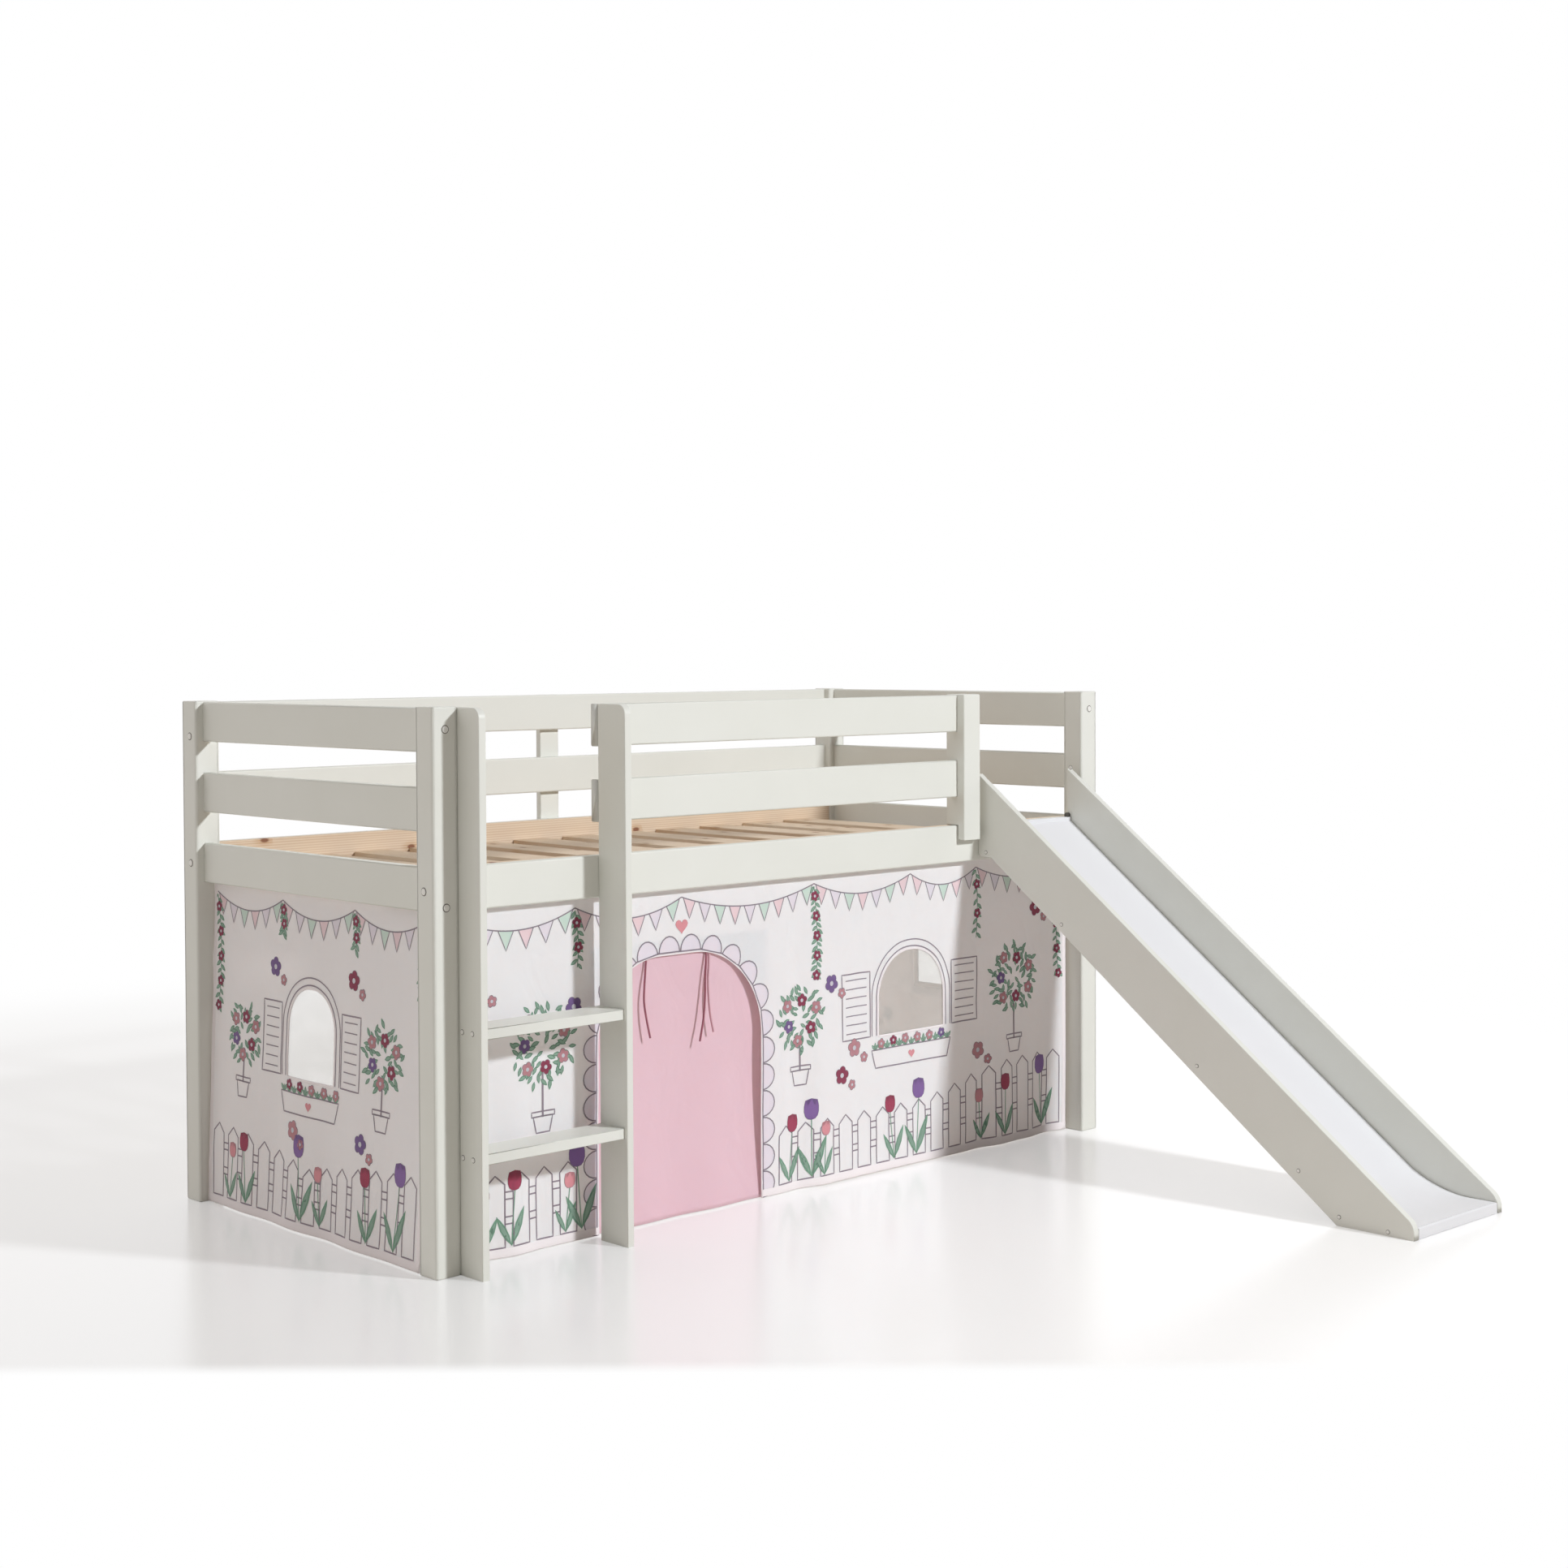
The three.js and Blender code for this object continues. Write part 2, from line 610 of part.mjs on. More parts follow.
// The height of the doorway's top edge, over the part where its right corner rounds off
function doorTop(x) {
  const fromLeft = Math.max(door.left + door.leftRadius - x, 0);
  const fromRight = Math.max(x - door.right + door.rightRadius, 0);
  const dropLeft = door.leftRadius - Math.sqrt(door.leftRadius ** 2 - fromLeft ** 2);
  const dropRight = door.rightRadius - Math.sqrt(door.rightRadius ** 2 - fromRight ** 2);
  return doorwayTop - dropLeft - dropRight;
}

// Ties that hold the flap when it is rolled up. They hang free from the top of the doorway, each
// through points [sideways, back, down] from where it is sewn to the cloth.
function makeTies() {
  const ring = [];
  for (let i = 0; i < tie.sides; i += 1) {
    const angle = (2 * Math.PI * i) / tie.sides;
    ring.push(new THREE.Vector2(Math.cos(angle), Math.sin(angle)).multiplyScalar(tie.diameter / 2));
  }
  const half = tie.diameter / 2;
  tieRoutes.forEach(([name, points], i) => {
    const x = THREE.MathUtils.lerp(door.left, door.right, tieStartShares[i]);
    const z = Math.min(doorTop(x - half), doorTop(x + half)) - fit - facet;
    const y = clothFace + cloth.thick / 2;
    const route = points.map(([dx, dy, dz]) => new THREE.Vector3(x + dx, y + dy, z - dz));
    const options = { extrudePath: new THREE.CatmullRomCurve3(route), steps: tie.steps, bevelEnabled: false };
    piece(den, name, new THREE.ExtrudeGeometry(new THREE.Shape(ring), options), materials.pink);
  });
}

makeFrame();
makeSlats();
makeLadder();
makeSlide();
makeDen();
makeFlap();
makeTies();

whole.add(frame, slats, steps, chute, den);
whole.position.set(-bed.length / 2, (slide.reach - bed.depth) / 2, 0);
const part = new THREE.Group();
part.name = "loft_bed_with_slide";
part.add(whole);

export default part;
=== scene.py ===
"""Dresses the loft bed with slide: painted and bare wood, the slide's sheet, the printed play den
with its clear windows, door and ties, the small caps, and a plain studio."""

import math
import random

import bmesh
import bpy
from bpy.props import FloatProperty, FloatVectorProperty, PointerProperty
from bpy.types import Operator, Panel, PropertyGroup
from mathutils import Matrix, Vector, noise
from mathutils.geometry import delaunay_2d_cdt
from mathutils.kdtree import KDTree


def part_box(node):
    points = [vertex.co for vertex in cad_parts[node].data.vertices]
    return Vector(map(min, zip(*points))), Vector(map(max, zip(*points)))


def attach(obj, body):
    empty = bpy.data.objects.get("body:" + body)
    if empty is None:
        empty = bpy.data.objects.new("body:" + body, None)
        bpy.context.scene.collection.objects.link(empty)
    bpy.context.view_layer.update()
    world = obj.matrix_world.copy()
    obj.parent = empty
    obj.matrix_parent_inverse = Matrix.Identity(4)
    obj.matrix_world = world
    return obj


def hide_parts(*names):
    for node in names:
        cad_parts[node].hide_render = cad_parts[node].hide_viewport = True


bl_info = {
    "name": "Loft Bed with Slide",
    "version": (1, 0, 0),
    "blender": (4, 5, 0),
    "location": "View3D > Sidebar > Loft Bed",
    "description": "Finishes a child's loft bed with a slide and a printed play den",
    "category": "Object",
}

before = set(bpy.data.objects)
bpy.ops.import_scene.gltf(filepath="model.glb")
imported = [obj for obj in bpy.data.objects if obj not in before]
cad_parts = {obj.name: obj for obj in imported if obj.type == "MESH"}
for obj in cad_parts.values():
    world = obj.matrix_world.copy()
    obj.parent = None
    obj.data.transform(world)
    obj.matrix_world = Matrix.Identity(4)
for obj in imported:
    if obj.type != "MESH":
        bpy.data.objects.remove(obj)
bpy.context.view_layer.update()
BODY = "bed"
MM = 0.001
NEAR = MM / 10
LAP_GAP = 0.3 * MM
ROUND_STEPS = 6

BED_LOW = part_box("post_front_left")[0]
BED_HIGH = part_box("post_back_right")[1]
POST_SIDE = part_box("post_front_left")[1].y - BED_LOW.y
RAIL_LOW, RAIL_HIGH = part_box("front_bed_rail")
RAIL_BOTTOM = RAIL_LOW.z
CLOTH_LOW, CLOTH_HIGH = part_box("curtain_front")
END_LOW, END_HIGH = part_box("curtain_left")


def colour(code):
    """The linear colour of a six-digit screen colour."""
    parts = [int(code[i : i + 2], 16) / 255 for i in (0, 2, 4)]
    return tuple(c / 12.92 if c <= 0.04045 else ((c + 0.055) / 1.055) ** 2.4 for c in parts)


def with_properties(group):
    """Makes properties of a group's rows, called after them. A row holds a default, a description
    and, if it is no length in millimetres, its unit. A text is a colour and a tuple a vector."""
    for key, row in group.__annotations__.items():
        default, description, unit = (*row, "LENGTH")[:3]
        words = {"name": key.replace("_", " ").capitalize(), "description": description}
        if isinstance(default, str):
            words.update(subtype="COLOR", size=3, min=0, max=1)
            made = FloatVectorProperty(**words, default=colour(default))
        elif isinstance(default, tuple):
            made = FloatVectorProperty(**words, size=len(default), default=default)
        else:
            scale = {"LENGTH": MM, "ROTATION": math.pi / 180, "NONE": 1}[unit]
            least = min(default, 0) * 10
            made = FloatProperty(**words, unit=unit, default=default * scale, min=least, precision=4)
        group.__annotations__[key] = made
    return group


@with_properties
class TimberSettings(PropertyGroup):
    """Sizes and colours of the wood."""

    post_edge: (5, "Radius of the posts' long edges")
    rail_edge: (4, "Radius of the rails' long edges")
    board_rim: (2, "Radius of the rims of the ladder's and slide's boards")
    slat_edge: (2, "Radius of the slats' long edges")
    cap_radius: (7, "Radius of the caps on the posts")
    small_cap_radius: (4.6, "Radius of the caps on ladder and slide")
    # The ring round a cap is painted shade: a dark disc for the shadow in the recess round the bolt.
    cap_ring: (1.7, "Width of the dark ring round a cap")
    cap_height: (1.6, "How far a cap stands out")
    paint: ("E8E9E3", "Colour of the painted wood")
    paint_shade: ("E1E2DA", "Where the paint lies thinner")
    pine: ("E3D2BC", "Colour of the bare wood")
    pine_ring: ("C09C77", "Colour of the bare wood's late rings")
    pine_knot: ("7A4526", "Colour of the bare wood's knots")


@with_properties
class SlideSettings(PropertyGroup):
    """Sizes and colours of the slide."""

    foot_length: (190, "Level part of the boards on the floor")
    board_wide: (140, "Width of the boards across their slope")
    sheet_drop: (99, "How far the sheet lies below the boards' top")
    heel_rise: (10, "Height of the boards' heel above the rail's lower edge")
    toe_radius: (35, "Rounding at the front of the boards")
    heel_radius: (10, "Rounding at the back of the boards")
    sheet_thick: (8, "Thickness of the running surface")
    sheet_foot: (24, "Height of the level part of the sheet")
    bend_radius: (250, "Radius of the sheet's bend")
    lip_radius: (3, "Rounding of the sheet's front lip")
    brow: (13, "Level strip at the sheet's upper end")
    groove: (7, "Distance of the groove from the sheet's front lip")
    groove_size: (1.6, "Width and depth of the groove")
    sheet_gap: (1.8, "Gap on each side of the sheet")
    sheet: ("ECECEF", "Colour of the running surface")


@with_properties
class ClothSettings(PropertyGroup):
    """Sizes and colours of the play den's cloth. Places across it are from the bed's left face."""

    thick: (1.1, "Thickness of the den's cloth")
    fold_depth: (6, "Depth of the front curtain's main folds at the hem")
    fold_length: (310, "Length of one main fold")
    ripple_depth: (2.5, "Depth of the small folds")
    ripple_length: (127, "Length of one small fold")
    end_fold_depth: (4, "Depth of the end curtains' folds at the hem")
    end_fold_length: (240, "Length of an end curtain's fold")
    door_flat: (47, "Flat cloth beside the doorway")
    film_flat: (41, "Flat cloth beside the window")
    flat_fade: (88, "Over how much cloth the folds begin beside an opening")
    left_swing_front: (42, "How far the left hem kicks out in front")
    left_swing_back: (24, "How far the left hem kicks out at the back")
    right_swing: (8, "How far the right hem kicks out")
    door_left: (450, "Left side of the doorway")
    door_right: (926, "Right side of the doorway")
    door_header: (145, "Cloth between the rail and the doorway")
    door_left_radius: (175, "Rounding of the doorway's left corner")
    door_right_radius: (200, "Rounding of the doorway's right corner")
    billow: (17, "How far the cloth door billows in")
    window_header: (204, "Cloth between the rail and a window")
    window_tall: (195, "Height of the windows")
    window_left: (1313, "Left side of the front window")
    window_wide: (228, "Width of the front window")
    window_radius: (110, "Rounding of the front window's corners")
    end_window_middle: (505, "Middle of the end windows from the bed's front")
    end_window_wide: (178, "Width of the end windows")
    end_window_radius: (86, "Rounding of the end windows' corners")
    crease: (4, "Depth of the cloth's broad soft creases")
    crest: (1.7, "Height of the creases' sharper lines")
    spacing: (10, "Distance between the points of the cloth")
    tie_width: (4.8, "Width of the door's ties")
    cloth: ("FBF7F9", "Ground colour of the printed cloth")
    # The darker cloth tone is random tone and, on the woven cloths, painted shade along the soft folds.
    cloth_shade: ("F7F1F3", "Where the cloth looks a little thicker")
    hem: ("F1E9EA", "Colour of the hems")
    door: ("F0C5D1", "Colour of the cloth door")
    tie: ("A66574", "Colour of the ties")
    line: ("9A8C97", "Colour of the print's outlines")
    leaf: ("A9CDB7", "Colour of the print's leaves")
    leaf_dark: ("7FA78F", "Colour of the shaded leaves")
    rose: ("E59AA2", "Colour of the pink flowers")
    berry: ("A8405C", "Colour of the dark flowers")
    violet: ("8A68A6", "Colour of the violet flowers")
    wash: ("F0E7F0", "Pale tint inside some shapes")
    blush: ("F4D9DE", "Pale pink tint inside some shapes")
    mint: ("D5E7DC", "Pale green tint inside some shapes")


@with_properties
class StageSettings(PropertyGroup):
    """The camera and the light."""

    camera_place: ((-3.68819, -3.65844, 1.24584), "Place of the camera in metres")
    heading: (46.23345, "Direction of view from +X", "ROTATION")
    tilt: (1.3595, "How far the view points down", "ROTATION")
    roll: (0.25546, "How far the view is turned", "ROTATION")
    lens: (52.958, "Focal length in millimetres for a 36 mm sensor", "NONE")
    shift: (-0.04938, "Upward shift of the frame", "NONE")
    key_place: ((1.308, -4.11, 3.1), "Place of the main lamp in metres")
    key_aim: ((0.0, 0.3, 0.5), "Point in metres that the main lamp faces")
    key_power: (7.4, "Power of the main lamp", "NONE")
    key_colour: ("F8FBFF", "Colour of the main lamp")
    key_size: (480, "Width of the main lamp")
    fill: (0.33, "Strength of the light from all round", "NONE")
    fill_lean: ((-0.12, 0.6, 0.3), "How much stronger the fill is from +X, +Y and above")
    fill_colour: ("FFF3E9", "Colour of the light from all round")
    fill_left: ("FFFDFD", "Colour of the even light from -X")
    bounce: ("EBE6DF", "Colour in which the floor lights the bed")
    floor_glow: (0.3, "Tone of the floor without any light", "NONE")
    # The floor's lower paleness on the left is painted shade, where less light falls.
    floor_left: (0.525, "Paleness of the floor on the left", "NONE")
    floor_right: (0.68, "Paleness of the floor on the right", "NONE")
    floor_gloss: (0.21, "Roughness of the floor's polish", "NONE")
    pool: ((-0.6, 0.6), "Middle in metres of the floor that shows")
    pool_inner: (2200, "Distance at which the floor starts to fade")
    pool_outer: (4200, "Distance at which the floor is all white")
    floor_front: (-1160, "Where the floor ends towards the camera")
    front_fade: (80, "Over how much floor it ends there")


class LoftBedSettings(PropertyGroup):
    """Everything that the bed's operators use."""

    timber: PointerProperty(type=TimberSettings)
    slide: PointerProperty(type=SlideSettings)
    cloth: PointerProperty(type=ClothSettings)
    stage: PointerProperty(type=StageSettings)


def settings():
    return bpy.context.scene.loft_bed


class Number:
    """A number that varies over a surface: a node's output, with Python's operators."""

    def __init__(self, finish, socket):
        self.finish = finish
        self.socket = socket

    def __add__(self, other):
        return self.finish.maths("ADD", self, other)

    def __radd__(self, other):
        return self.finish.maths("ADD", other, self)

    def __sub__(self, other):
        return self.finish.maths("SUBTRACT", self, other)

    def __mul__(self, other):
        return self.finish.maths("MULTIPLY", self, other)


class Shading:
    """The nodes of a material or of the world, under construction."""

    def __init__(self, tree):
        self.tree = tree

    def feed(self, socket, value):
        """Links an output to a socket, or sets the socket's own value."""
        if isinstance(value, Number):
            value = value.socket
        if isinstance(value, bpy.types.NodeSocket):
            self.tree.links.new(value, socket)
        elif socket.type == "RGBA":
            socket.default_value = (*value[:3], 1)
        else:
            socket.default_value = value

    def node(self, kind, options=None, inputs=None):
        """A node of a kind, with its options set first and its sockets fed after."""
        made = self.tree.nodes.new(kind)
        for name, value in (options or {}).items():
            setattr(made, name, value)
        for name, value in (inputs or {}).items():
            self.feed(made.inputs[name], value)
        return made

    def maths(self, operation, *values, clamp=False):
        made = self.node(
            "ShaderNodeMath", {"operation": operation, "use_clamp": clamp}, dict(enumerate(values))
        )
        return Number(self, made.outputs[0])

    def blend(self, share, first, second):
        """The output of two shaders, mixed."""
        made = self.node("ShaderNodeMixShader", inputs={0: share})
        self.feed(made.inputs[1], first.outputs[0])
        self.feed(made.inputs[2], second.outputs[0])
        return made

    def output(self, name, lighting, shown):
        """Ends the tree: one shader lights the rest, another is seen, straight or in a reflection."""
        path = self.node("ShaderNodeLightPath").outputs
        straight, mirrored, through = (
            Number(self, path[f"Is {kind} Ray"]) for kind in ("Camera", "Glossy", "Transmission")
        )
        seen = self.maths("MAXIMUM", self.maths("MAXIMUM", straight, mirrored), through)
        self.feed(self.tree.nodes[name].inputs["Surface"], self.blend(seen, lighting, shown).outputs[0])

    def place(self, scale=(1, 1, 1), turn=(0, 0, 0), source="Object"):
        """Coordinates of the surface along turned axes, scaled on each of them."""
        where = self.node("ShaderNodeTexCoord").outputs[source]
        inputs = {"Vector": where, "Rotation": turn, "Scale": [1 / share for share in scale]}
        return self.node("ShaderNodeMapping", {"vector_type": "TEXTURE"}, inputs).outputs[0]

    def axis(self, vector, letter):
        return Number(self, self.node("ShaderNodeSeparateXYZ", inputs={0: vector}).outputs[letter])

    def noise(self, vector, scale, detail=2.0, roughness=0.5, distortion=0.0):
        inputs = {
            "Vector": vector, "Scale": scale, "Detail": detail,
            "Roughness": roughness, "Distortion": distortion,
        }
        return Number(self, self.node("ShaderNodeTexNoise", inputs=inputs).outputs[0])

    def range(self, value, low, high, to_low=0.0, to_high=1.0):
        inputs = {"Value": value, "From Min": low, "From Max": high, "To Min": to_low, "To Max": to_high}
        made = self.node("ShaderNodeMapRange", {"interpolation_type": "SMOOTHSTEP"}, inputs)
        return Number(self, made.outputs[0])

    def mix(self, share, first, second):
        made = self.node("ShaderNodeMix", {"data_type": "RGBA"})
        self.feed(made.inputs[0], share)
        self.feed(made.inputs[6], first)
        self.feed(made.inputs[7], second)
        return made.outputs[2]


class Finish(Shading):
    """One material under construction."""

    def __init__(self, name):
        self.material = bpy.data.materials.new(name)
        self.material.use_nodes = True
        super().__init__(self.material.node_tree)
        self.shader = self.tree.nodes["Principled BSDF"]

    def bump(self, height, strength, distance):
        inputs = {"Height": height, "Strength": strength, "Distance": distance}
        self.feed(self.shader.inputs["Normal"], self.node("ShaderNodeBump", inputs=inputs).outputs[0])

    def set(self, **inputs):
        for name, value in inputs.items():
            self.feed(self.shader.inputs[name.replace("_", " ")], value)
        return self.material

    def tint(self, share, first, second, **inputs):
        """Colours the surface between two colours, and sets what else is named."""
        return self.set(Base_Color=self.mix(share, first, second), **inputs)


def slide_slope():
    """The slide's steepness: its sheet comes out level with the top of the bed rail."""
    sizes = settings().slide
    low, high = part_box("slide_board_left")
    run_length = high.y - low.y - sizes.foot_length
    depth = sizes.board_wide - sizes.sheet_drop
    return math.atan2(RAIL_HIGH.z, run_length) - math.asin(depth / math.hypot(run_length, RAIL_HIGH.z))


def grain_turn(grain):
    """The turn that brings the X axis onto the grain."""
    turns = {
        "x": (0, 0, 0),
        "y": (0, 0, math.pi / 2),
        "z": (0, -math.pi / 2, 0),
        "slope": (0, -slide_slope(), math.pi / 2),
    }
    return turns[grain]


def painted_wood(grain, turn):
    """Satin paint over softwood, whose grain just shows in the gloss."""
    sizes = settings().timber
    finish = Finish(f"painted_wood_{grain}")
    cloudy = finish.noise(finish.place(), 5, 3)
    fibres = finish.noise(finish.place((3, 60, 60), turn), 4, 5, 0.6)
    peel = finish.noise(finish.place(), 420, 1)
    finish.bump(fibres * 0.75 + peel * 0.25, 0.22, 0.0006)
    return finish.tint(
        cloudy, sizes.paint, sizes.paint_shade, Roughness=0.36 + fibres * 0.12, Specular_IOR_Level=0.45
    )


def bare_pine(grain, turn):
    """Planed pine with fine growth rings along the grain and a few small knots."""
    sizes = settings().timber
    finish = Finish(f"bare_pine_{grain}")
    upright = grain == "x"
    rings = finish.node(
        "ShaderNodeTexWave",
        {"wave_type": "BANDS", "bands_direction": "Z" if upright else "Y", "wave_profile": "SAW"},
        {
            "Vector": finish.place((1.1, 14, 14), turn), "Scale": 3.8, "Distortion": 3.2,
            "Detail": 2.0, "Detail Scale": 0.6,
        },
    ).outputs[1]
    late = finish.range(Number(finish, rings), 0.3, 1.0)
    cloud = finish.noise(finish.place((1.2, 44, 44), turn), 1, 2, 0.5)
    fibres = finish.noise(finish.place((5, 260, 260), turn), 3, 4, 0.6)
    face = (math.pi / 2, 0, 0) if upright else turn
    cells = finish.node(
        "ShaderNodeTexVoronoi",
        {"voronoi_dimensions": "2D", "feature": "F1", "distance": "EUCLIDEAN"},
        {"Vector": finish.place((7, 14, 14), face), "Scale": 1.0},
    )
    near = Number(finish, cells.outputs["Distance"])
    picked = finish.range(finish.axis(cells.outputs["Color"], "X"), 0.5, 0.54)
    knot = finish.range(near, 0.05, 0.1, 1.0, 0.0) * picked
    halo = finish.range(near, 0.08, 0.26, 1.0, 0.0) * picked
    share = finish.maths("ADD", late * 0.42, halo * 0.4 + cloud * 0.5 - 0.12, clamp=True)
    wood = finish.mix(share + fibres * 0.16 - 0.08, sizes.pine, sizes.pine_ring)
    finish.bump(fibres * 0.7 + late * 0.3, 0.3, 0.0005)
    return finish.tint(knot * 0.9, wood, sizes.pine_knot, Roughness=0.5 + fibres * 0.14)


def smooth_sheet():
    """The slide's white running surface."""
    finish = Finish("slide_sheet_white")
    fine = finish.noise(finish.place(), 160, 2)
    broad = finish.noise(finish.place((1, 0.4, 1)), 7, 2)
    finish.bump(fine * 0.5 + broad * 0.5, 0.12, 0.0008)
    return finish.tint(broad, settings().slide.sheet, colour("E7E8EB"), Roughness=0.3 + broad * 0.08)


THREAD_PITCH = 0.8 * MM
STITCH_HALF = 1.6 * MM


def woven_cloth(name, ground, shade, sheen=0.25):
    """Plain woven cotton, its threads running across and up the cloth's own UV map, with painted shade along
    its soft folds.
    """
    finish = Finish(name)
    finish.set(Subsurface_Weight=0.45, Subsurface_Radius=(1, 0.74, 0.68), Subsurface_Scale=0.0065)
    flat = finish.place(source="UV")
    warp, weft = (
        finish.maths("SINE", finish.axis(flat, letter) * (math.tau / THREAD_PITCH)) for letter in "XY"
    )
    threads = finish.noise(finish.place((1, 14, 1), source="UV"), 220, 2)
    cloud = finish.noise(flat, 9, 3, 0.55)
    fold = finish.noise(finish.place((1.6, 1.1, 1), (0, 0, 0.5), "UV"), 6, 2.5, 0.55, 1.2)
    finish.bump(fold * 7 + warp * weft * 0.12 + threads * 0.12, 0.5, 0.0012)
    # The fold noise, which also raises the bump, pulls the colour towards the darker tone: painted shade along
    # the soft folds, on top of the random cloudy and thread tone.
    return finish.tint(
        cloud * 0.4 + threads * 0.3 + fold * 0.3, ground, shade,
        Roughness=0.82 + threads * 0.1, Sheen_Weight=sheen, Sheen_Roughness=0.5,
    )


def stitched_hem(name, ground, shade):
    """The same cloth turned in and sewn, with its stitches along the inner edge of the hem."""
    finish = Finish(name)
    flat = finish.place(source="UV")
    row = finish.range(finish.maths("ABSOLUTE", finish.axis(flat, "Y") - 0.78), 0.03, 0.07, 1.0, 0.0)
    dash = finish.range(finish.maths("PINGPONG", finish.axis(flat, "X"), STITCH_HALF), 0.0004, 0.0007)
    threads = finish.noise(finish.place((1, 0.05, 1), source="UV"), 500, 2)
    finish.bump(threads * 0.3 + row * dash * 0.7, 0.4, 0.0006)
    return finish.tint(
        threads, ground, shade, Roughness=0.85 + threads * 0.08, Sheen_Weight=0.2, Sheen_Roughness=0.5
    )


def clear_film():
    """Soft clear film with faint creases in its gloss."""
    finish = Finish("clear_window_film")
    crease = finish.noise(finish.place((1, 1, 1.8)), 7, 1.5, 0.4, 0.8)
    finish.bump(crease, 0.16, 0.005)
    return finish.tint(
        crease, colour("EFEFEA"), colour("E2E1DD"), Roughness=0.06 + crease * 0.06,
        Alpha=0.11 + crease * 0.13, Specular_IOR_Level=0.14,
    )


def plain_finish(name, scale, detail, tones, strength, distance, roughness, spread, metallic=0.0):
    """An even material whose fine grain shows a little in its colour, relief and gloss."""
    finish = Finish(name)
    fine = finish.noise(finish.place(), scale, detail)
    finish.bump(fine, strength, distance)
    return finish.tint(fine, *map(colour, tones), Metallic=metallic, Roughness=roughness + fine * spread)


PLAIN_FINISHES = {
    "tape": ("hook_and_loop_tape", 900, 3, ("EEEDEA", "D8D6D2"), 0.8, 0.001, 0.9, 0.08),
    "cap": ("cap_plastic", 700, 2, ("F3F2EE", "E9E8E3"), 0.1, 0.0004, 0.3, 0.1),
    # The cap ring's dark grey is painted shade, the shadow in the recess round each cap.
    "cap_ring": ("cap_ring", 300, 2, ("77736C", "6A665F"), 0.2, 0.0003, 0.7, 0.1),
    "bolt": ("bolt_steel", 240, 3, ("4A4845", "6E6B66"), 0.2, 0.0003, 0.4, 0.25, 0.6),
}
INK_LIFTS = {
    "line": 0.4, "leaf": 0.48, "leaf_dark": 0.44, "rose": 0.55, "berry": 0.55, "violet": 0.55,
    "wash": 0.25, "blush": 0.25, "mint": 0.25,
}
INKS = list(INK_LIFTS)


FINISHES = {}


def darker(tone, share):
    return [share * c for c in tone]


def make_finish(name):
    """A new material by name: a plain one, an ink, wood with its grain, or one of the soft goods."""
    cloth = settings().cloth
    if name in PLAIN_FINISHES:
        return plain_finish(*PLAIN_FINISHES[name])
    if name in INKS:
        ink = getattr(cloth, name)
        return woven_cloth(f"print_{name}", ink, darker(ink, 0.9), 0.15)
    kind, _, grain = name.partition("_")
    if kind in ("paint", "pine"):
        return (painted_wood if kind == "paint" else bare_pine)(grain, grain_turn(grain))
    makers = {
        "smooth_sheet": smooth_sheet,
        "film": clear_film,
        "cloth": lambda: woven_cloth("printed_cloth", cloth.cloth, cloth.cloth_shade),
        "door": lambda: woven_cloth("door_cloth", cloth.door, darker(cloth.door, 0.94)),
        "tie": lambda: woven_cloth("tie_cloth", cloth.tie, darker(cloth.tie, 0.85)),
        "tie_pale": lambda: woven_cloth("pale_tie_cloth", colour("D3A6B1"), colour("C594A0")),
        "hem": lambda: stitched_hem("cloth_hem", cloth.hem, cloth.cloth_shade),
        "door_hem": lambda: stitched_hem("door_hem", darker(cloth.door, 0.93), cloth.door),
    }
    return makers[name]()


def finish_named(name):
    """A material by name, made when it is first asked for."""
    if name not in FINISHES:
        FINISHES[name] = make_finish(name)
    return FINISHES[name]


def add_piece(name, bm, finishes, replaces=(), body=BODY):
    """Makes a mesh object of a bmesh, gives it its finishes and sets it on its body."""
    mesh = bpy.data.meshes.new(name)
    for face in bm.faces:
        face.smooth = True
    bm.to_mesh(mesh)
    bm.free()
    piece = bpy.data.objects.new(name, mesh)
    bpy.context.scene.collection.objects.link(piece)
    for finish in finishes:
        mesh.materials.append(finish_named(finish))
    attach(piece, body)
    if replaces:
        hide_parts(*replaces)
    return piece


def dress(node, finish):
    """Gives a CAD node that stays as it is its finish."""
    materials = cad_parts[node].data.materials
    materials.clear()
    materials.append(finish_named(finish))


def weigh_normals(piece):
    """Keeps flat faces flat to the eye beside their rounded edges."""
    modifier = piece.modifiers.new("even_shading", "WEIGHTED_NORMAL")
    modifier.keep_sharp = False
    return piece


def round_edges(bm, edges, radius, segments):
    bmesh.ops.bevel(
        bm, geom=edges, offset=radius, offset_type="OFFSET", segments=segments,
        profile=0.5, affect="EDGES", material=-1,
    )


def timber(node, grain, radius, finish="paint", end_radius=0.0, slot="paint"):
    """A straight length of wood in its CAD node's place, with its long edges rounded."""
    low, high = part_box(node)
    axis = "xyz".index(grain)
    bm = bmesh.new()
    bmesh.ops.create_cube(bm, size=1)
    bmesh.ops.scale(bm, vec=high - low, verts=bm.verts)
    bmesh.ops.translate(bm, vec=(low + high) / 2, verts=bm.verts)
    long_edges = [edge for edge in bm.edges if abs(edge.verts[0].co[axis] - edge.verts[1].co[axis]) > MM]
    round_edges(bm, long_edges, radius, 4)
    if end_radius:
        ends = [
            edge for edge in bm.edges
            if all(min(abs(v.co[axis] - low[axis]), abs(v.co[axis] - high[axis])) < NEAR for v in edge.verts)
        ]
        round_edges(bm, ends, end_radius, 3)
    bmesh.ops.recalc_face_normals(bm, faces=bm.faces)
    return weigh_normals(add_piece(f"{node}_finished", bm, [f"{finish}_{grain}"], [node]))


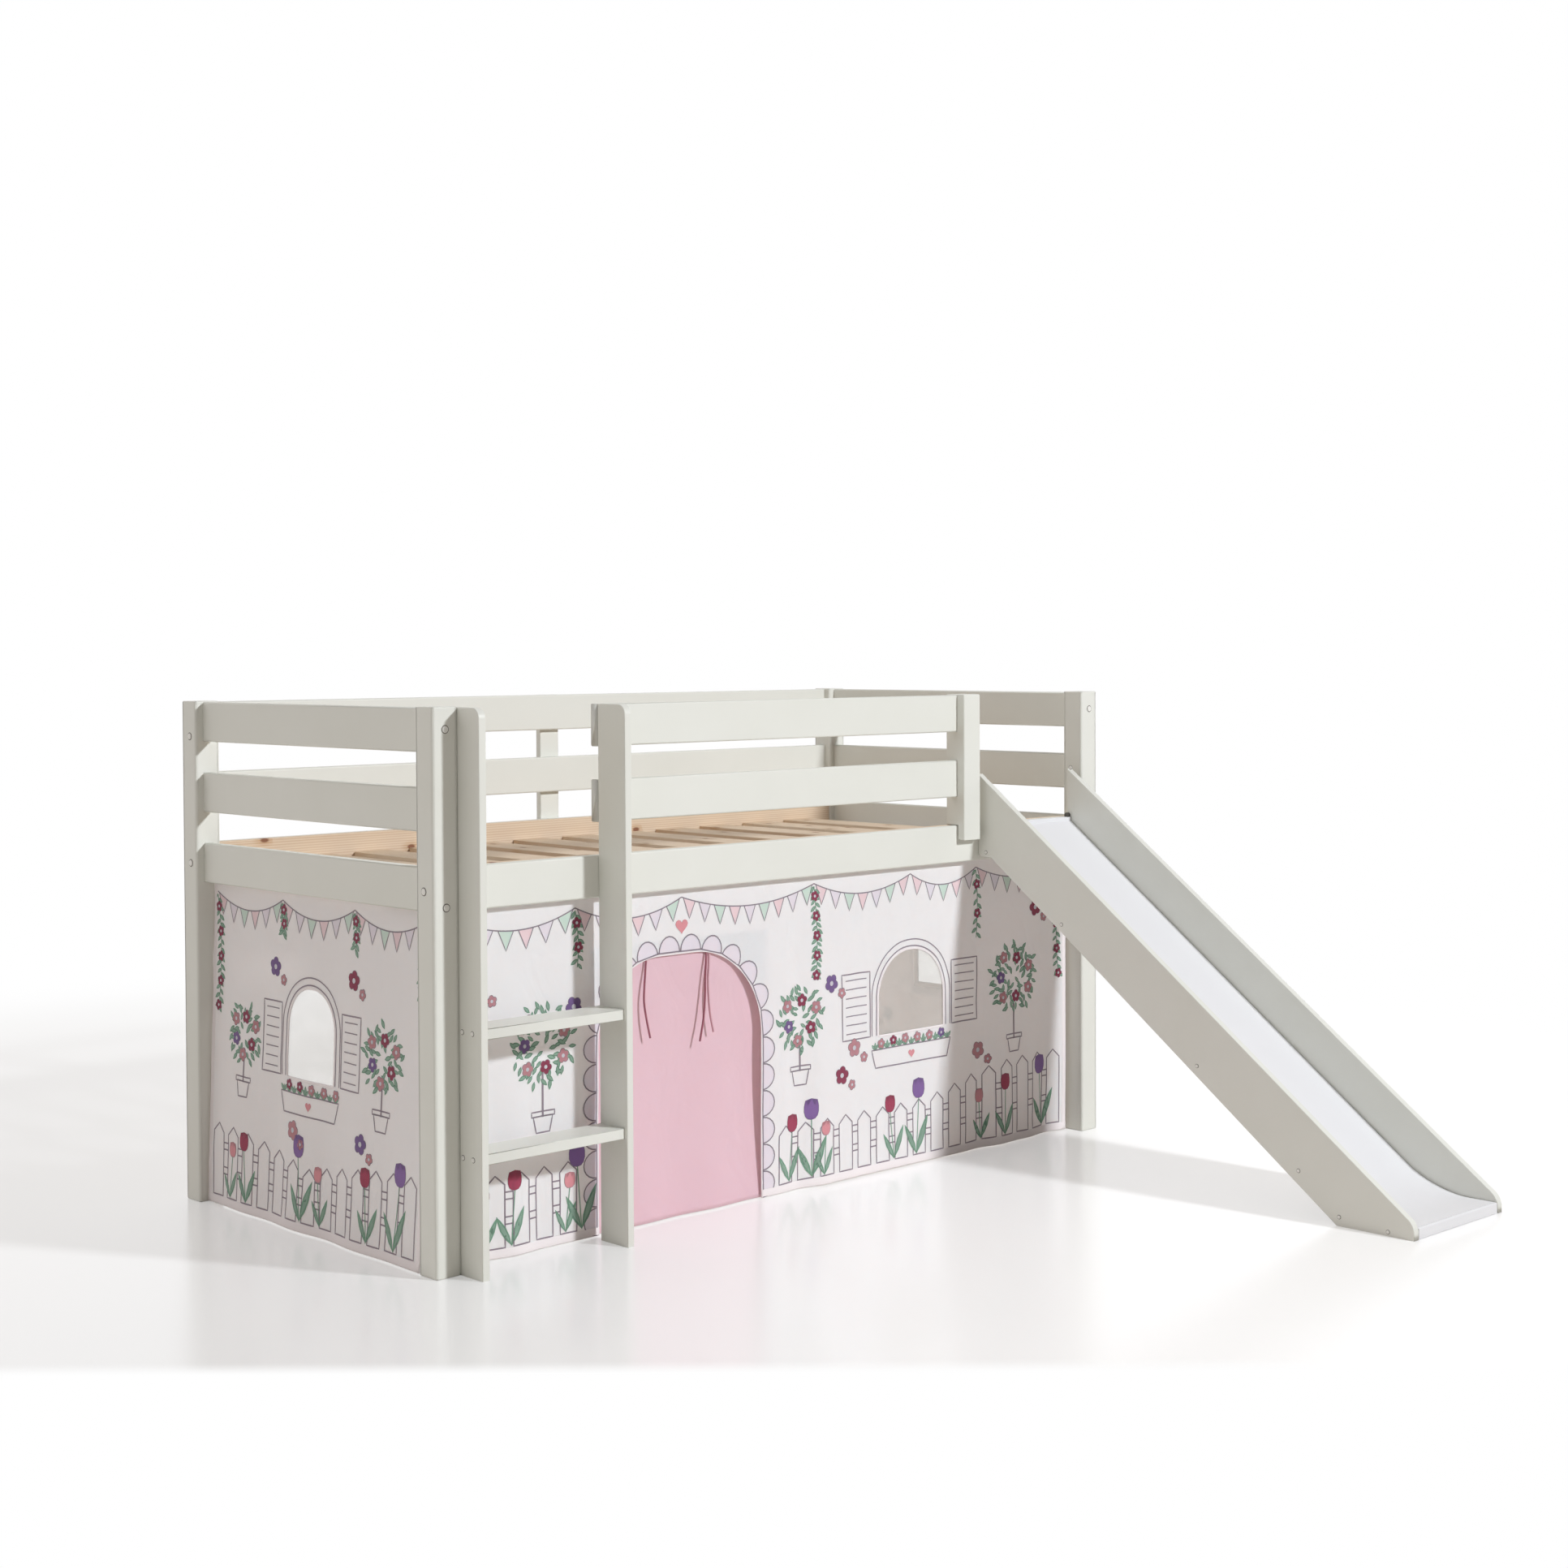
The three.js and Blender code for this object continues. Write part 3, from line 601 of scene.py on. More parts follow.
def profile_board(node, corners, finish, rim, weighted=True, set_in=0.0):
    """A board across X from an outline of corners (y, z, radius), in its CAD node's place."""
    low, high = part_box(node)
    bm = bmesh.new()
    face = bm.faces.new([bm.verts.new((low.x + set_in, y, z)) for y, z, _ in corners])
    moved = bmesh.ops.extrude_face_region(bm, geom=[face])["geom"]
    across = (high.x - low.x - 2 * set_in, 0, 0)
    bmesh.ops.translate(bm, vec=across, verts=[v for v in moved if isinstance(v, bmesh.types.BMVert)])
    bmesh.ops.recalc_face_normals(bm, faces=bm.faces)
    for i, (y, z, radius) in enumerate(corners):
        if not radius:
            continue
        back = Vector(corners[i - 1][:2]) - Vector((y, z))
        on = Vector(corners[(i + 1) % len(corners)][:2]) - Vector((y, z))
        half = back.angle(on) / 2
        edge = [
            e for e in bm.edges
            if all(abs(v.co.y - y) < NEAR and abs(v.co.z - z) < NEAR for v in e.verts)
        ]
        arc = (math.pi - 2 * half) * radius
        steps = min(max(ROUND_STEPS, round(ROUND_STEPS * arc / (60 * MM))), 4 * ROUND_STEPS)
        round_edges(bm, edge, radius / math.tan(half), steps)
    if rim:
        rims = [
            e for e in bm.edges
            if abs(e.verts[0].co.x - e.verts[1].co.x) < NEAR and e.calc_face_angle(0) > 1
            and max(v.co.z for v in e.verts) > MM
        ]
        round_edges(bm, rims, rim, 3)
    bmesh.ops.recalc_face_normals(bm, faces=bm.faces)
    piece = add_piece(f"{node}_finished", bm, [finish], [node])
    return weigh_normals(piece) if weighted else piece


class BuildOperator:
    """What the bed's operators share."""

    bl_options = {"REGISTER", "UNDO"}


class BED_OT_camera(BuildOperator, Operator):
    """Sets up the camera at the photograph's view"""

    bl_idname = "bed.camera"
    bl_label = "Camera"

    def execute(self, context):
        stage = settings().stage
        data = bpy.data.cameras.new("camera")
        data.sensor_width = 36
        data.lens = stage.lens
        data.shift_y = stage.shift
        data.clip_start = 0.05
        data.clip_end = 200
        ahead = Vector((
            math.cos(stage.heading) * math.cos(stage.tilt),
            math.sin(stage.heading) * math.cos(stage.tilt),
            -math.sin(stage.tilt),
        ))
        right = Vector((math.sin(stage.heading), -math.cos(stage.heading), 0))
        up = right.cross(ahead)
        turned_right = right * math.cos(stage.roll) - up * math.sin(stage.roll)
        turned_up = right * math.sin(stage.roll) + up * math.cos(stage.roll)
        camera = bpy.data.objects.new("camera", data)
        camera.matrix_world = (
            Matrix.Translation(stage.camera_place)
            @ Matrix((turned_right, turned_up, -ahead)).transposed().to_4x4()
        )
        context.scene.collection.objects.link(camera)
        context.scene.camera = camera
        return {"FINISHED"}


def door_top():
    return RAIL_BOTTOM - settings().cloth.door_header


# Where each tie starts, as a share of the doorway's width, and the millimetres that it goes from
# there to the right, inwards and down.
TIES = {
    "door_tie_left": (
        0.286, [(0, 0, 0), (-2, 0, 22), (-6, -1, 58), (-7, -1, 90), (-1, -2, 128), (9, -2, 169)]
    ),
    "door_tie_right": (
        0.654, [(0, 0, 0), (-2, -1, 22), (-5, -2, 58), (-7, -3, 98), (-12, -3, 146), (-23, -3, 195)]
    ),
    "door_tie_spare": (
        0.671, [(0, 0, 0), (-1, 0, 22), (-3, 0, 58), (-2, 0, 98), (3, 0, 138), (12, 0, 177)]
    ),
}


def smooth_route(points, steps):
    """A smooth line through a few points, as many steps between each two."""
    padded = [2 * points[0] - points[1], *points, 2 * points[-1] - points[-2]]
    line = []
    for a, b, c, d in zip(padded, padded[1:], padded[2:], padded[3:]):
        for k in range(steps):
            t = k / steps
            bend = (2 * a - 5 * b + 4 * c - d) * t**2
            turn = (3 * b - a - 3 * c + d) * t**3
            line.append(0.5 * (2 * b + (c - a) * t + bend + turn))
    return [*line, points[-1]]


class BED_OT_ties(BuildOperator, Operator):
    """Makes the ties that hang from the top of the doorway"""

    bl_idname = "bed.ties"
    bl_label = "Door ties"

    def execute(self, context):
        cloth = settings().cloth
        for name, (share, route) in TIES.items():
            start_x = cloth.door_left + share * (cloth.door_right - cloth.door_left)
            start = Vector((BED_LOW.x + start_x, CLOTH_FACE + 1.2 * MM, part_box(name)[1].z))
            line = smooth_route([start + Vector((dx, dy, -dz)) * MM for dx, dy, dz in route], 5)
            curve = bpy.data.curves.new(f"{name}_cloth", "CURVE")
            curve.dimensions = "3D"
            spline = curve.splines.new("POLY")
            spline.points.add(len(line) - 1)
            for point, place in zip(spline.points, line):
                point.co = (*place, 1)
            curve.bevel_depth = cloth.tie_width / 2
            curve.bevel_resolution = 3
            curve.use_fill_caps = True
            curve.materials.append(finish_named("tie_pale" if name.endswith("spare") else "tie"))
            tie = bpy.data.objects.new(f"{name}_cloth", curve)
            context.scene.collection.objects.link(tie)
            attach(tie, BODY)
            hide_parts(name)
            length = sum((b - a).length for a, b in zip(line, line[1:]))
        return {"FINISHED"}


class BED_OT_frame(BuildOperator, Operator):
    """Finishes the posts, rails, guard and the batten at the back"""

    bl_idname = "bed.frame"
    bl_label = "Painted frame"

    def execute(self, context):
        sizes = settings().timber
        for side in ("front_left", "front_right", "back_left", "back_right"):
            timber(f"post_{side}", "z", sizes.post_edge, end_radius=3 * MM)
        for level in ("top", "middle", "bed"):
            for side, grain in (("left", "y"), ("right", "y"), ("back", "x")):
                timber(f"{side}_{level}_rail", grain, sizes.rail_edge)
        for node in ("front_bed_rail", "guard_top_rail", "guard_lower_rail"):
            timber(node, "x", sizes.rail_edge)
        timber("back_centre_batten", "z", 3 * MM, end_radius=MM)
        low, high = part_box("guard_end_post")
        seat = RAIL_HIGH.z + LAP_GAP
        lap = RAIL_LOW.y - LAP_GAP
        corners = [
            (low.y, low.z, 0), (lap, low.z, 0), (lap, seat, 0),
            (high.y, seat, 0), (high.y, high.z, 4 * MM), (low.y, high.z, 4 * MM),
        ]
        profile_board("guard_end_post", corners, "paint_z", 4 * MM)
        return {"FINISHED"}


class BED_OT_slats(BuildOperator, Operator):
    """Finishes the bare slats and the strips that carry them"""

    bl_idname = "bed.slats"
    bl_label = "Slats"

    def execute(self, context):
        slats = [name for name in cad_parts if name.startswith("slat_") and name[5:].isdigit()]
        for node in sorted(slats):
            timber(node, "y", settings().timber.slat_edge, "pine", slot="pine")
        for side in ("front", "back"):
            dress(f"slat_carrier_{side}", "pine_x")
        return {"FINISHED"}


class BED_OT_ladder(BuildOperator, Operator):
    """Finishes the ladder"""

    bl_idname = "bed.ladder"
    bl_label = "Ladder"

    def execute(self, context):
        for side in ("left", "right"):
            low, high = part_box(f"ladder_stile_{side}")
            corners = [(low.y, low.z, 0), (high.y, low.z, 0), (high.y, high.z, 0), (low.y, high.z, 22 * MM)]
            profile_board(f"ladder_stile_{side}", corners, "paint_z", settings().timber.board_rim)
        for level in ("lower", "upper"):
            timber(f"ladder_rung_{level}", "x", 1.5 * MM)
        return {"FINISHED"}


class BED_OT_slide(BuildOperator, Operator):
    """Finishes the slide's boards, its bent sheet and its cross bars"""

    bl_idname = "bed.slide"
    bl_label = "Slide"

    def execute(self, context):
        sizes = settings().slide
        low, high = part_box("slide_board_left")
        front, back = low.y, high.y
        foot_back = front + sizes.foot_length
        rise, run = math.tan(slide_slope()), math.cos(slide_slope())
        heel = RAIL_BOTTOM + sizes.heel_rise

        def upper(y):
            return (y - foot_back) * rise + sizes.board_wide / run

        def sheet_line(y):
            return upper(y) - sizes.sheet_drop / run

        board = [
            (front, 0, 0), (foot_back, 0, 0), (foot_back + heel / rise, heel, 0),
            (back, heel, sizes.heel_radius), (back, upper(back), 0),
            (front, upper(front), sizes.toe_radius),
        ]
        for side in ("left", "right"):
            profile_board(f"slide_board_{side}", board, "paint_slope", settings().timber.board_rim)
        thick, foot = sizes.sheet_thick, sizes.sheet_foot
        under = foot - thick
        lip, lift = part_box("slide_sheet")[0].yz
        bend = front + (foot - sheet_line(front)) / rise
        under_bend = bend + (thick / run - thick) / rise
        brow = back - sizes.brow
        groove = lip + sizes.groove
        deep = foot - sizes.groove_size
        sheet = [
            (back, sheet_line(back), 0), (brow, sheet_line(back), 0), (brow, sheet_line(brow), 0),
            (bend, foot, sizes.bend_radius), (groove + sizes.groove_size, foot, 0),
            (groove + sizes.groove_size, deep, 0), (groove, deep, 0), (groove, foot, 0),
            (lip, foot, sizes.lip_radius), (lip, lift, 0), (lip + thick, lift, 0), (lip + thick, under, 0),
            (under_bend, under, sizes.bend_radius + thick), (back, sheet_line(back) - thick / run, 0),
        ]
        running = profile_board(
            "slide_sheet", sheet, "smooth_sheet", 0, weighted=False, set_in=sizes.sheet_gap
        )
        self.smooth_run(running, front, back)
        for node in ("slide_top_cleat", "slide_lower_bar", "slide_rear_foot_bar", "slide_front_foot_bar"):
            dress(node, "paint_x")
        return {"FINISHED"}

    def smooth_run(self, piece, front, back):
        """Cuts the sheet's long faces short, so that its bend shades smoothly into them."""
        bm = bmesh.new()
        bm.from_mesh(piece.data)
        steps = round((back - front) / (40 * MM))
        for k in range(1, steps):
            y = front + (back - front) * k / steps
            geometry = [*bm.verts, *bm.edges, *bm.faces]
            bmesh.ops.bisect_plane(bm, geom=geometry, plane_co=(0, y, 0), plane_no=(0, 1, 0))
        bm.to_mesh(piece.data)
        bm.free()
        piece.data.set_sharp_from_angle(angle=math.radians(35))


CLOTH_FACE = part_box("curtain_tape_front")[1].y + 0.3 * MM
GOLDEN_TURN = 2.39996
DISC_SIDES = 12
PETALS = 5
STROKE_STEP = 9 * MM
DRIFT_RATE = 22
LONGEST_EDGE = 15 * MM
BLOOM_INKS = ("rose", "berry", "rose", "violet")


def smoothstep(share):
    share = min(max(share, 0.0), 1.0)
    return share * share * (3 - 2 * share)


def wave(at, length):
    return math.sin(2 * math.pi * at / length)


def hang_share(z):
    """How much of its free swing the cloth has at a height: none behind the rail, all at the hem."""
    return min(max((RAIL_BOTTOM - z) / (RAIL_BOTTOM - CLOTH_LOW.z), 0.0), 1.0)


def creases(across, up, seed):
    """Soft slanting creases, a millimetre or two deep, which die out towards the tape."""
    slant = across * 2.2 + up * 0.9
    broad = noise.noise(Vector((slant, up * 1.3, seed)))
    ridge = noise.noise(Vector((across * 1.7 - up * 1.9, up * 1.2 + across * 0.6, seed + 7.3)))
    crest = max(0.0, 1 - abs(ridge) * 5) ** 2
    free = smoothstep((RAIL_BOTTOM - up) / (120 * MM))
    return (broad * settings().cloth.crease + crest * settings().cloth.crest) * free


def polar(angle, length=1.0):
    """A flat vector with a direction and a length."""
    return Vector((math.cos(angle), math.sin(angle))) * length


def left_of(way):
    """A flat vector turned to the left."""
    return Vector((-way.y, way.x))


def way_at(line, i, closed):
    """The direction of a line at one of its points."""
    before = line[i - 1] if i or closed else line[i]
    after = line[(i + 1) % len(line)] if i + 1 < len(line) or closed else line[i]
    return (after - before).normalized()


def even_line(a, b):
    """Points on the straight line between two places, a centimetre apart or less."""
    a, b = Vector(a), Vector(b)
    steps = math.ceil((b - a).length / (10 * MM))
    return [a.lerp(b, k / steps) for k in range(steps + 1)]


def window_rows():
    """The heights of the windows' sills and tops."""
    top = RAIL_BOTTOM - settings().cloth.window_header
    return top - settings().cloth.window_tall, top


class Curtain:
    """One hanging cloth: where each point of it lies, and the openings in it. Across runs to the
    right as one looks at its printed face, and up is the height above the floor."""

    out = Vector((0, -1, 0))

    def __init__(self, name, width, window=None):
        self.name = name
        self.width = width
        self.window = window

    def doorway(self):
        """The corners (across, up, radius) of the doorway, where there is one."""
        return []


class FrontCurtain(Curtain):
    def __init__(self):
        cloth = settings().cloth
        self.offset = CLOTH_LOW.x - BED_LOW.x
        window = (cloth.window_left - self.offset, cloth.window_wide, cloth.window_radius)
        super().__init__("front", CLOTH_HIGH.x - CLOTH_LOW.x, window)

    def doorway(self):
        cloth = settings().cloth
        left, right = cloth.door_left - self.offset, cloth.door_right - self.offset
        hem = CLOTH_LOW.z
        return [
            (left, hem, 0), (left, door_top(), cloth.door_left_radius),
            (right, door_top(), cloth.door_right_radius), (right, hem, 0),
        ]

    def fold(self, across, z):
        cloth = settings().cloth
        at = across + self.offset
        from_door = max(cloth.door_left - cloth.door_flat - at, at - cloth.door_right - cloth.door_flat)
        right = cloth.window_left + cloth.window_wide
        from_window = max(cloth.window_left - cloth.film_flat - at, at - right - cloth.film_flat)
        fade = smoothstep(min(from_door, from_window) / cloth.flat_fade)
        ripples = cloth.ripple_depth * wave(at, cloth.ripple_length)
        return fade * hang_share(z) * (cloth.fold_depth * wave(at, cloth.fold_length) + ripples)

    def place(self, across, up, depth=0.0):
        y = CLOTH_FACE + depth + self.fold(across, up) + creases(across, up, 1)
        return Vector((CLOTH_LOW.x + across, y, up))


class EndCurtain(Curtain):
    def __init__(self, side):
        cloth = settings().cloth
        width = END_HIGH.y - END_LOW.y
        middle = cloth.end_window_middle - (END_LOW.y - BED_LOW.y)
        self.side = -1 if side == "left" else 1
        across = width - middle if side == "left" else middle
        wide = cloth.end_window_wide
        super().__init__(side, width, (across - wide / 2, wide, cloth.end_window_radius))
        self.out = Vector((self.side, 0, 0))

    def place(self, across, up, depth=0.0):
        cloth = settings().cloth
        left = self.side < 0
        y = END_HIGH.y - across if left else END_LOW.y + across
        at = y - BED_LOW.y
        share = (at - POST_SIDE) / (BED_HIGH.y - BED_LOW.y - 2 * POST_SIDE)
        front = cloth.left_swing_front if left else cloth.right_swing
        back = cloth.left_swing_back if left else cloth.right_swing
        swing = front + (back - front) * share
        hang = hang_share(up)
        folds = cloth.end_fold_depth * wave(at, cloth.end_fold_length) * math.sin(math.pi * share)
        out = swing * hang**1.3 + folds * hang - depth + creases(across, up, 4 + self.side)
        face = CLOTH_FACE - BED_LOW.y
        return Vector((BED_LOW.x + face - out if left else BED_HIGH.x - face + out, y, up))


def rounded(corners, spacing, closed=True):
    """Points along an outline of corners (across, up, radius), no further apart than the spacing."""
    count = len(corners)
    stops = []
    for i, (a, b, radius) in enumerate(corners):
        here = Vector((a, b))
        if not radius:
            stops.append([here])
            continue
        back = (Vector(corners[i - 1][:2]) - here).normalized()
        on = (Vector(corners[(i + 1) % count][:2]) - here).normalized()
        half = back.angle(on) / 2
        centre = here + (back + on).normalized() * radius / math.sin(half)
        start = here + back * radius / math.tan(half) - centre
        end = here + on * radius / math.tan(half) - centre
        sweep = math.atan2(start.x * end.y - start.y * end.x, start.dot(end))
        steps = max(3, math.ceil(abs(sweep) * radius / spacing))
        stops.append([
            centre + Matrix.Rotation(sweep * k / steps, 2) @ start for k in range(steps + 1)
        ])
    line = []
    for i, arc in enumerate(stops):
        line.extend(arc)
        if i + 1 < count or closed:
            onto = stops[(i + 1) % count][0]
            steps = max(1, math.ceil((onto - arc[-1]).length / spacing))
            line.extend(arc[-1].lerp(onto, k / steps) for k in range(1, steps))
    return line


def inside(point, loop):
    """Whether a flat point lies within a closed loop."""
    crossing = False
    for a, b in zip(loop, loop[1:] + loop[:1]):
        if (a.y > point.y) != (b.y > point.y):
            if point.x < a.x + (point.y - a.y) / (b.y - a.y) * (b.x - a.x):
                crossing = not crossing
    return crossing


def flat_mesh(outer, holes, spacing):
    """A flat triangle mesh within an outline and outside its holes: points and triangles."""
    points = []
    edges = []
    for loop in (outer, *holes):
        start = len(points)
        edges.extend((start + i, start + (i + 1) % len(loop)) for i in range(len(loop)))
        points.extend(loop)
    rim = KDTree(len(points))
    for i, point in enumerate(points):
        rim.insert((*point, 0), i)
    rim.balance()
    low = Vector((min(p.x for p in outer), min(p.y for p in outer)))
    high = Vector((max(p.x for p in outer), max(p.y for p in outer)))
    columns = math.ceil((high.x - low.x) / spacing)
    rows = math.ceil((high.y - low.y) / spacing)
    for j in range(1, rows):
        for i in range(columns + 1):
            point = Vector((low.x + (i + 0.5 * (j % 2)) * spacing, low.y + j * spacing))
            if point.x < high.x and rim.find((*point, 0))[2] > 0.6 * spacing:
                points.append(point)
    within_edges = 1
    made, _, faces, *_ = delaunay_2d_cdt(points, edges, [], within_edges, 1e-7)
    kept = []
    for face in faces:
        middle = sum((made[i] for i in face), Vector((0, 0))) / len(face)
        if not any(inside(middle, hole) for hole in holes):
            kept.append(face)
    return made, kept


def turn_out(bm, curtain):
    """Turns all the faces round where most of them face in."""
    bm.normal_update()
    if sum(face.normal.dot(curtain.out) for face in bm.faces) < 0:
        bmesh.ops.reverse_faces(bm, faces=bm.faces)


def thicken(piece, thick):
    solid = piece.modifiers.new("thickness", "SOLIDIFY")
    solid.thickness = thick
    solid.offset = -1
    return piece


def cloth_piece(name, curtain, outer, holes, finish, node, depth=0.0, thick=None, body=BODY):
    """A cloth over part of a curtain's surface, with the cloth's thickness behind it."""
    cloth = settings().cloth
    points, faces = flat_mesh(outer, holes, cloth.spacing)
    bm = bmesh.new()
    verts = [bm.verts.new(curtain.place(p.x, p.y, depth)) for p in points]
    map_layer = bm.loops.layers.uv.new("cloth")
    for face in faces:
        made = bm.faces.new([verts[i] for i in face])
        for loop, i in zip(made.loops, face):
            loop[map_layer].uv = points[i]
    bmesh.ops.delete(bm, geom=[v for v in bm.verts if not v.link_faces], context="VERTS")
    turn_out(bm, curtain)
    return thicken(add_piece(name, bm, [finish], [node], body), thick or cloth.thick)


# A hem's cross-section: shares of its width, and of its lift, at the same places.
HEM_ACROSS = (0.0, 0.12, 0.5, 0.88, 1.0)
HEM_LIFTS = (-0.4, 0.75, 1.0, 0.75, -0.4)


def hem_piece(
    name, curtain, line, width, closed=False, finish="hem", lift=0.6 * MM, depth=0.0, body=BODY, inward=1
):
    """A sewn hem along a line on a curtain: a low rounded strip on the line's left side."""
    bm = bmesh.new()
    map_layer = bm.loops.layers.uv.new("cloth")
    count = len(line)
    rows = []
    alongs = []
    for i, point in enumerate(line):
        side = left_of(way_at(line, i, closed)) * inward
        rows.append([
            bm.verts.new(curtain.place(*(point + side * width * s), depth - lift * h))
            for s, h in zip(HEM_ACROSS, HEM_LIFTS)
        ])
        alongs.append(alongs[-1] + (point - line[i - 1]).length if i else 0.0)
    for i in range(count if closed else count - 1):
        j = (i + 1) % count
        u0, u1 = alongs[i], alongs[i] + (line[j] - line[i]).length
        for k, (v0, v1) in enumerate(zip(HEM_ACROSS, HEM_ACROSS[1:])):
            face = bm.faces.new([rows[i][k], rows[j][k], rows[j][k + 1], rows[i][k + 1]])
            for loop, uv in zip(face.loops, [(u0, v0), (u1, v0), (u1, v1), (u0, v1)]):
                loop[map_layer].uv = uv
    turn_out(bm, curtain)
    return thicken(add_piece(name, bm, [finish], (), body), 0.3 * MM)


def window_loop(window, spacing):
    left, wide, radius = window
    sill, top = window_rows()
    corners = [(left, sill, 0), (left + wide, sill, 0), (left + wide, top, radius), (left, top, radius)]
    return rounded(corners, spacing)


class BED_OT_curtains(BuildOperator, Operator):
    """Hangs the three printed curtains with their hems, windows and films"""

    bl_idname = "bed.curtains"
    bl_label = "Curtains"

    def execute(self, context):
        for curtain in (FrontCurtain(), EndCurtain("left"), EndCurtain("right")):
            self.hang(curtain)
        return {"FINISHED"}

    def hang(self, curtain):
        spacing = settings().cloth.spacing
        hem, top = CLOTH_LOW.z, CLOTH_HIGH.z
        width, name, doorway = curtain.width, curtain.name, curtain.doorway()
        corners = [(0, hem, 0), *doorway, (width, hem, 0), (width, top, 0), (0, top, 0)]
        outer = rounded(corners, spacing * 0.75)
        hole = window_loop(curtain.window, spacing * 0.6)
        piece = cloth_piece(f"{name}_curtain_cloth", curtain, outer, [hole], "cloth", f"curtain_{name}")
        edges = [("bottom", even_line((0, hem), (width, hem)), 20, 0.6)]
        if doorway:
            left, right = doorway[0][:2], doorway[-1][:2]
            edges = [
                ("bottom_left", even_line((0, hem), left), 20, 0.6),
                ("bottom_right", even_line(right, (width, hem)), 20, 0.6),
                ("doorway", rounded(doorway, 10 * MM, closed=False), 3, 0.3),
            ]
        edges.append(("right_side", even_line((width, hem), (width, top)), 14, 0.6))
        edges.append(("left_side", even_line((0, top), (0, hem)), 14, 0.6))
        hems = [
            hem_piece(f"{name}_hem_{part}", curtain, line, wide * MM, lift=lift * MM)
            for part, line, wide, lift in edges
        ]
        hems.append(hem_piece(f"{name}_window_binding", curtain, hole, 6 * MM, closed=True, inward=-1))
        film = self.film(curtain)
        printed = print_design(curtain)
        loop_area(outer) - loop_area(hole)

    def film(self, curtain):
        """The clear film behind a window, a little larger than the opening."""
        lap = 14 * MM
        left, wide, _ = curtain.window
        sill, top = window_rows()
        right = left + wide + lap
        left, low, high = left - lap, sill - lap, top + lap
        outer = rounded([(left, low, 0), (right, low, 0), (right, high, 0), (left, high, 0)], 12 * MM)
        name = curtain.name
        return cloth_piece(
            f"{name}_window_film", curtain, outer, [], "film", f"window_film_{name}",
            2.9 * MM, 0.5 * MM,
        )


def loop_area(loop):
    return abs(sum(a.x * b.y - b.x * a.y for a, b in zip(loop, loop[1:] + loop[:1]))) / 2


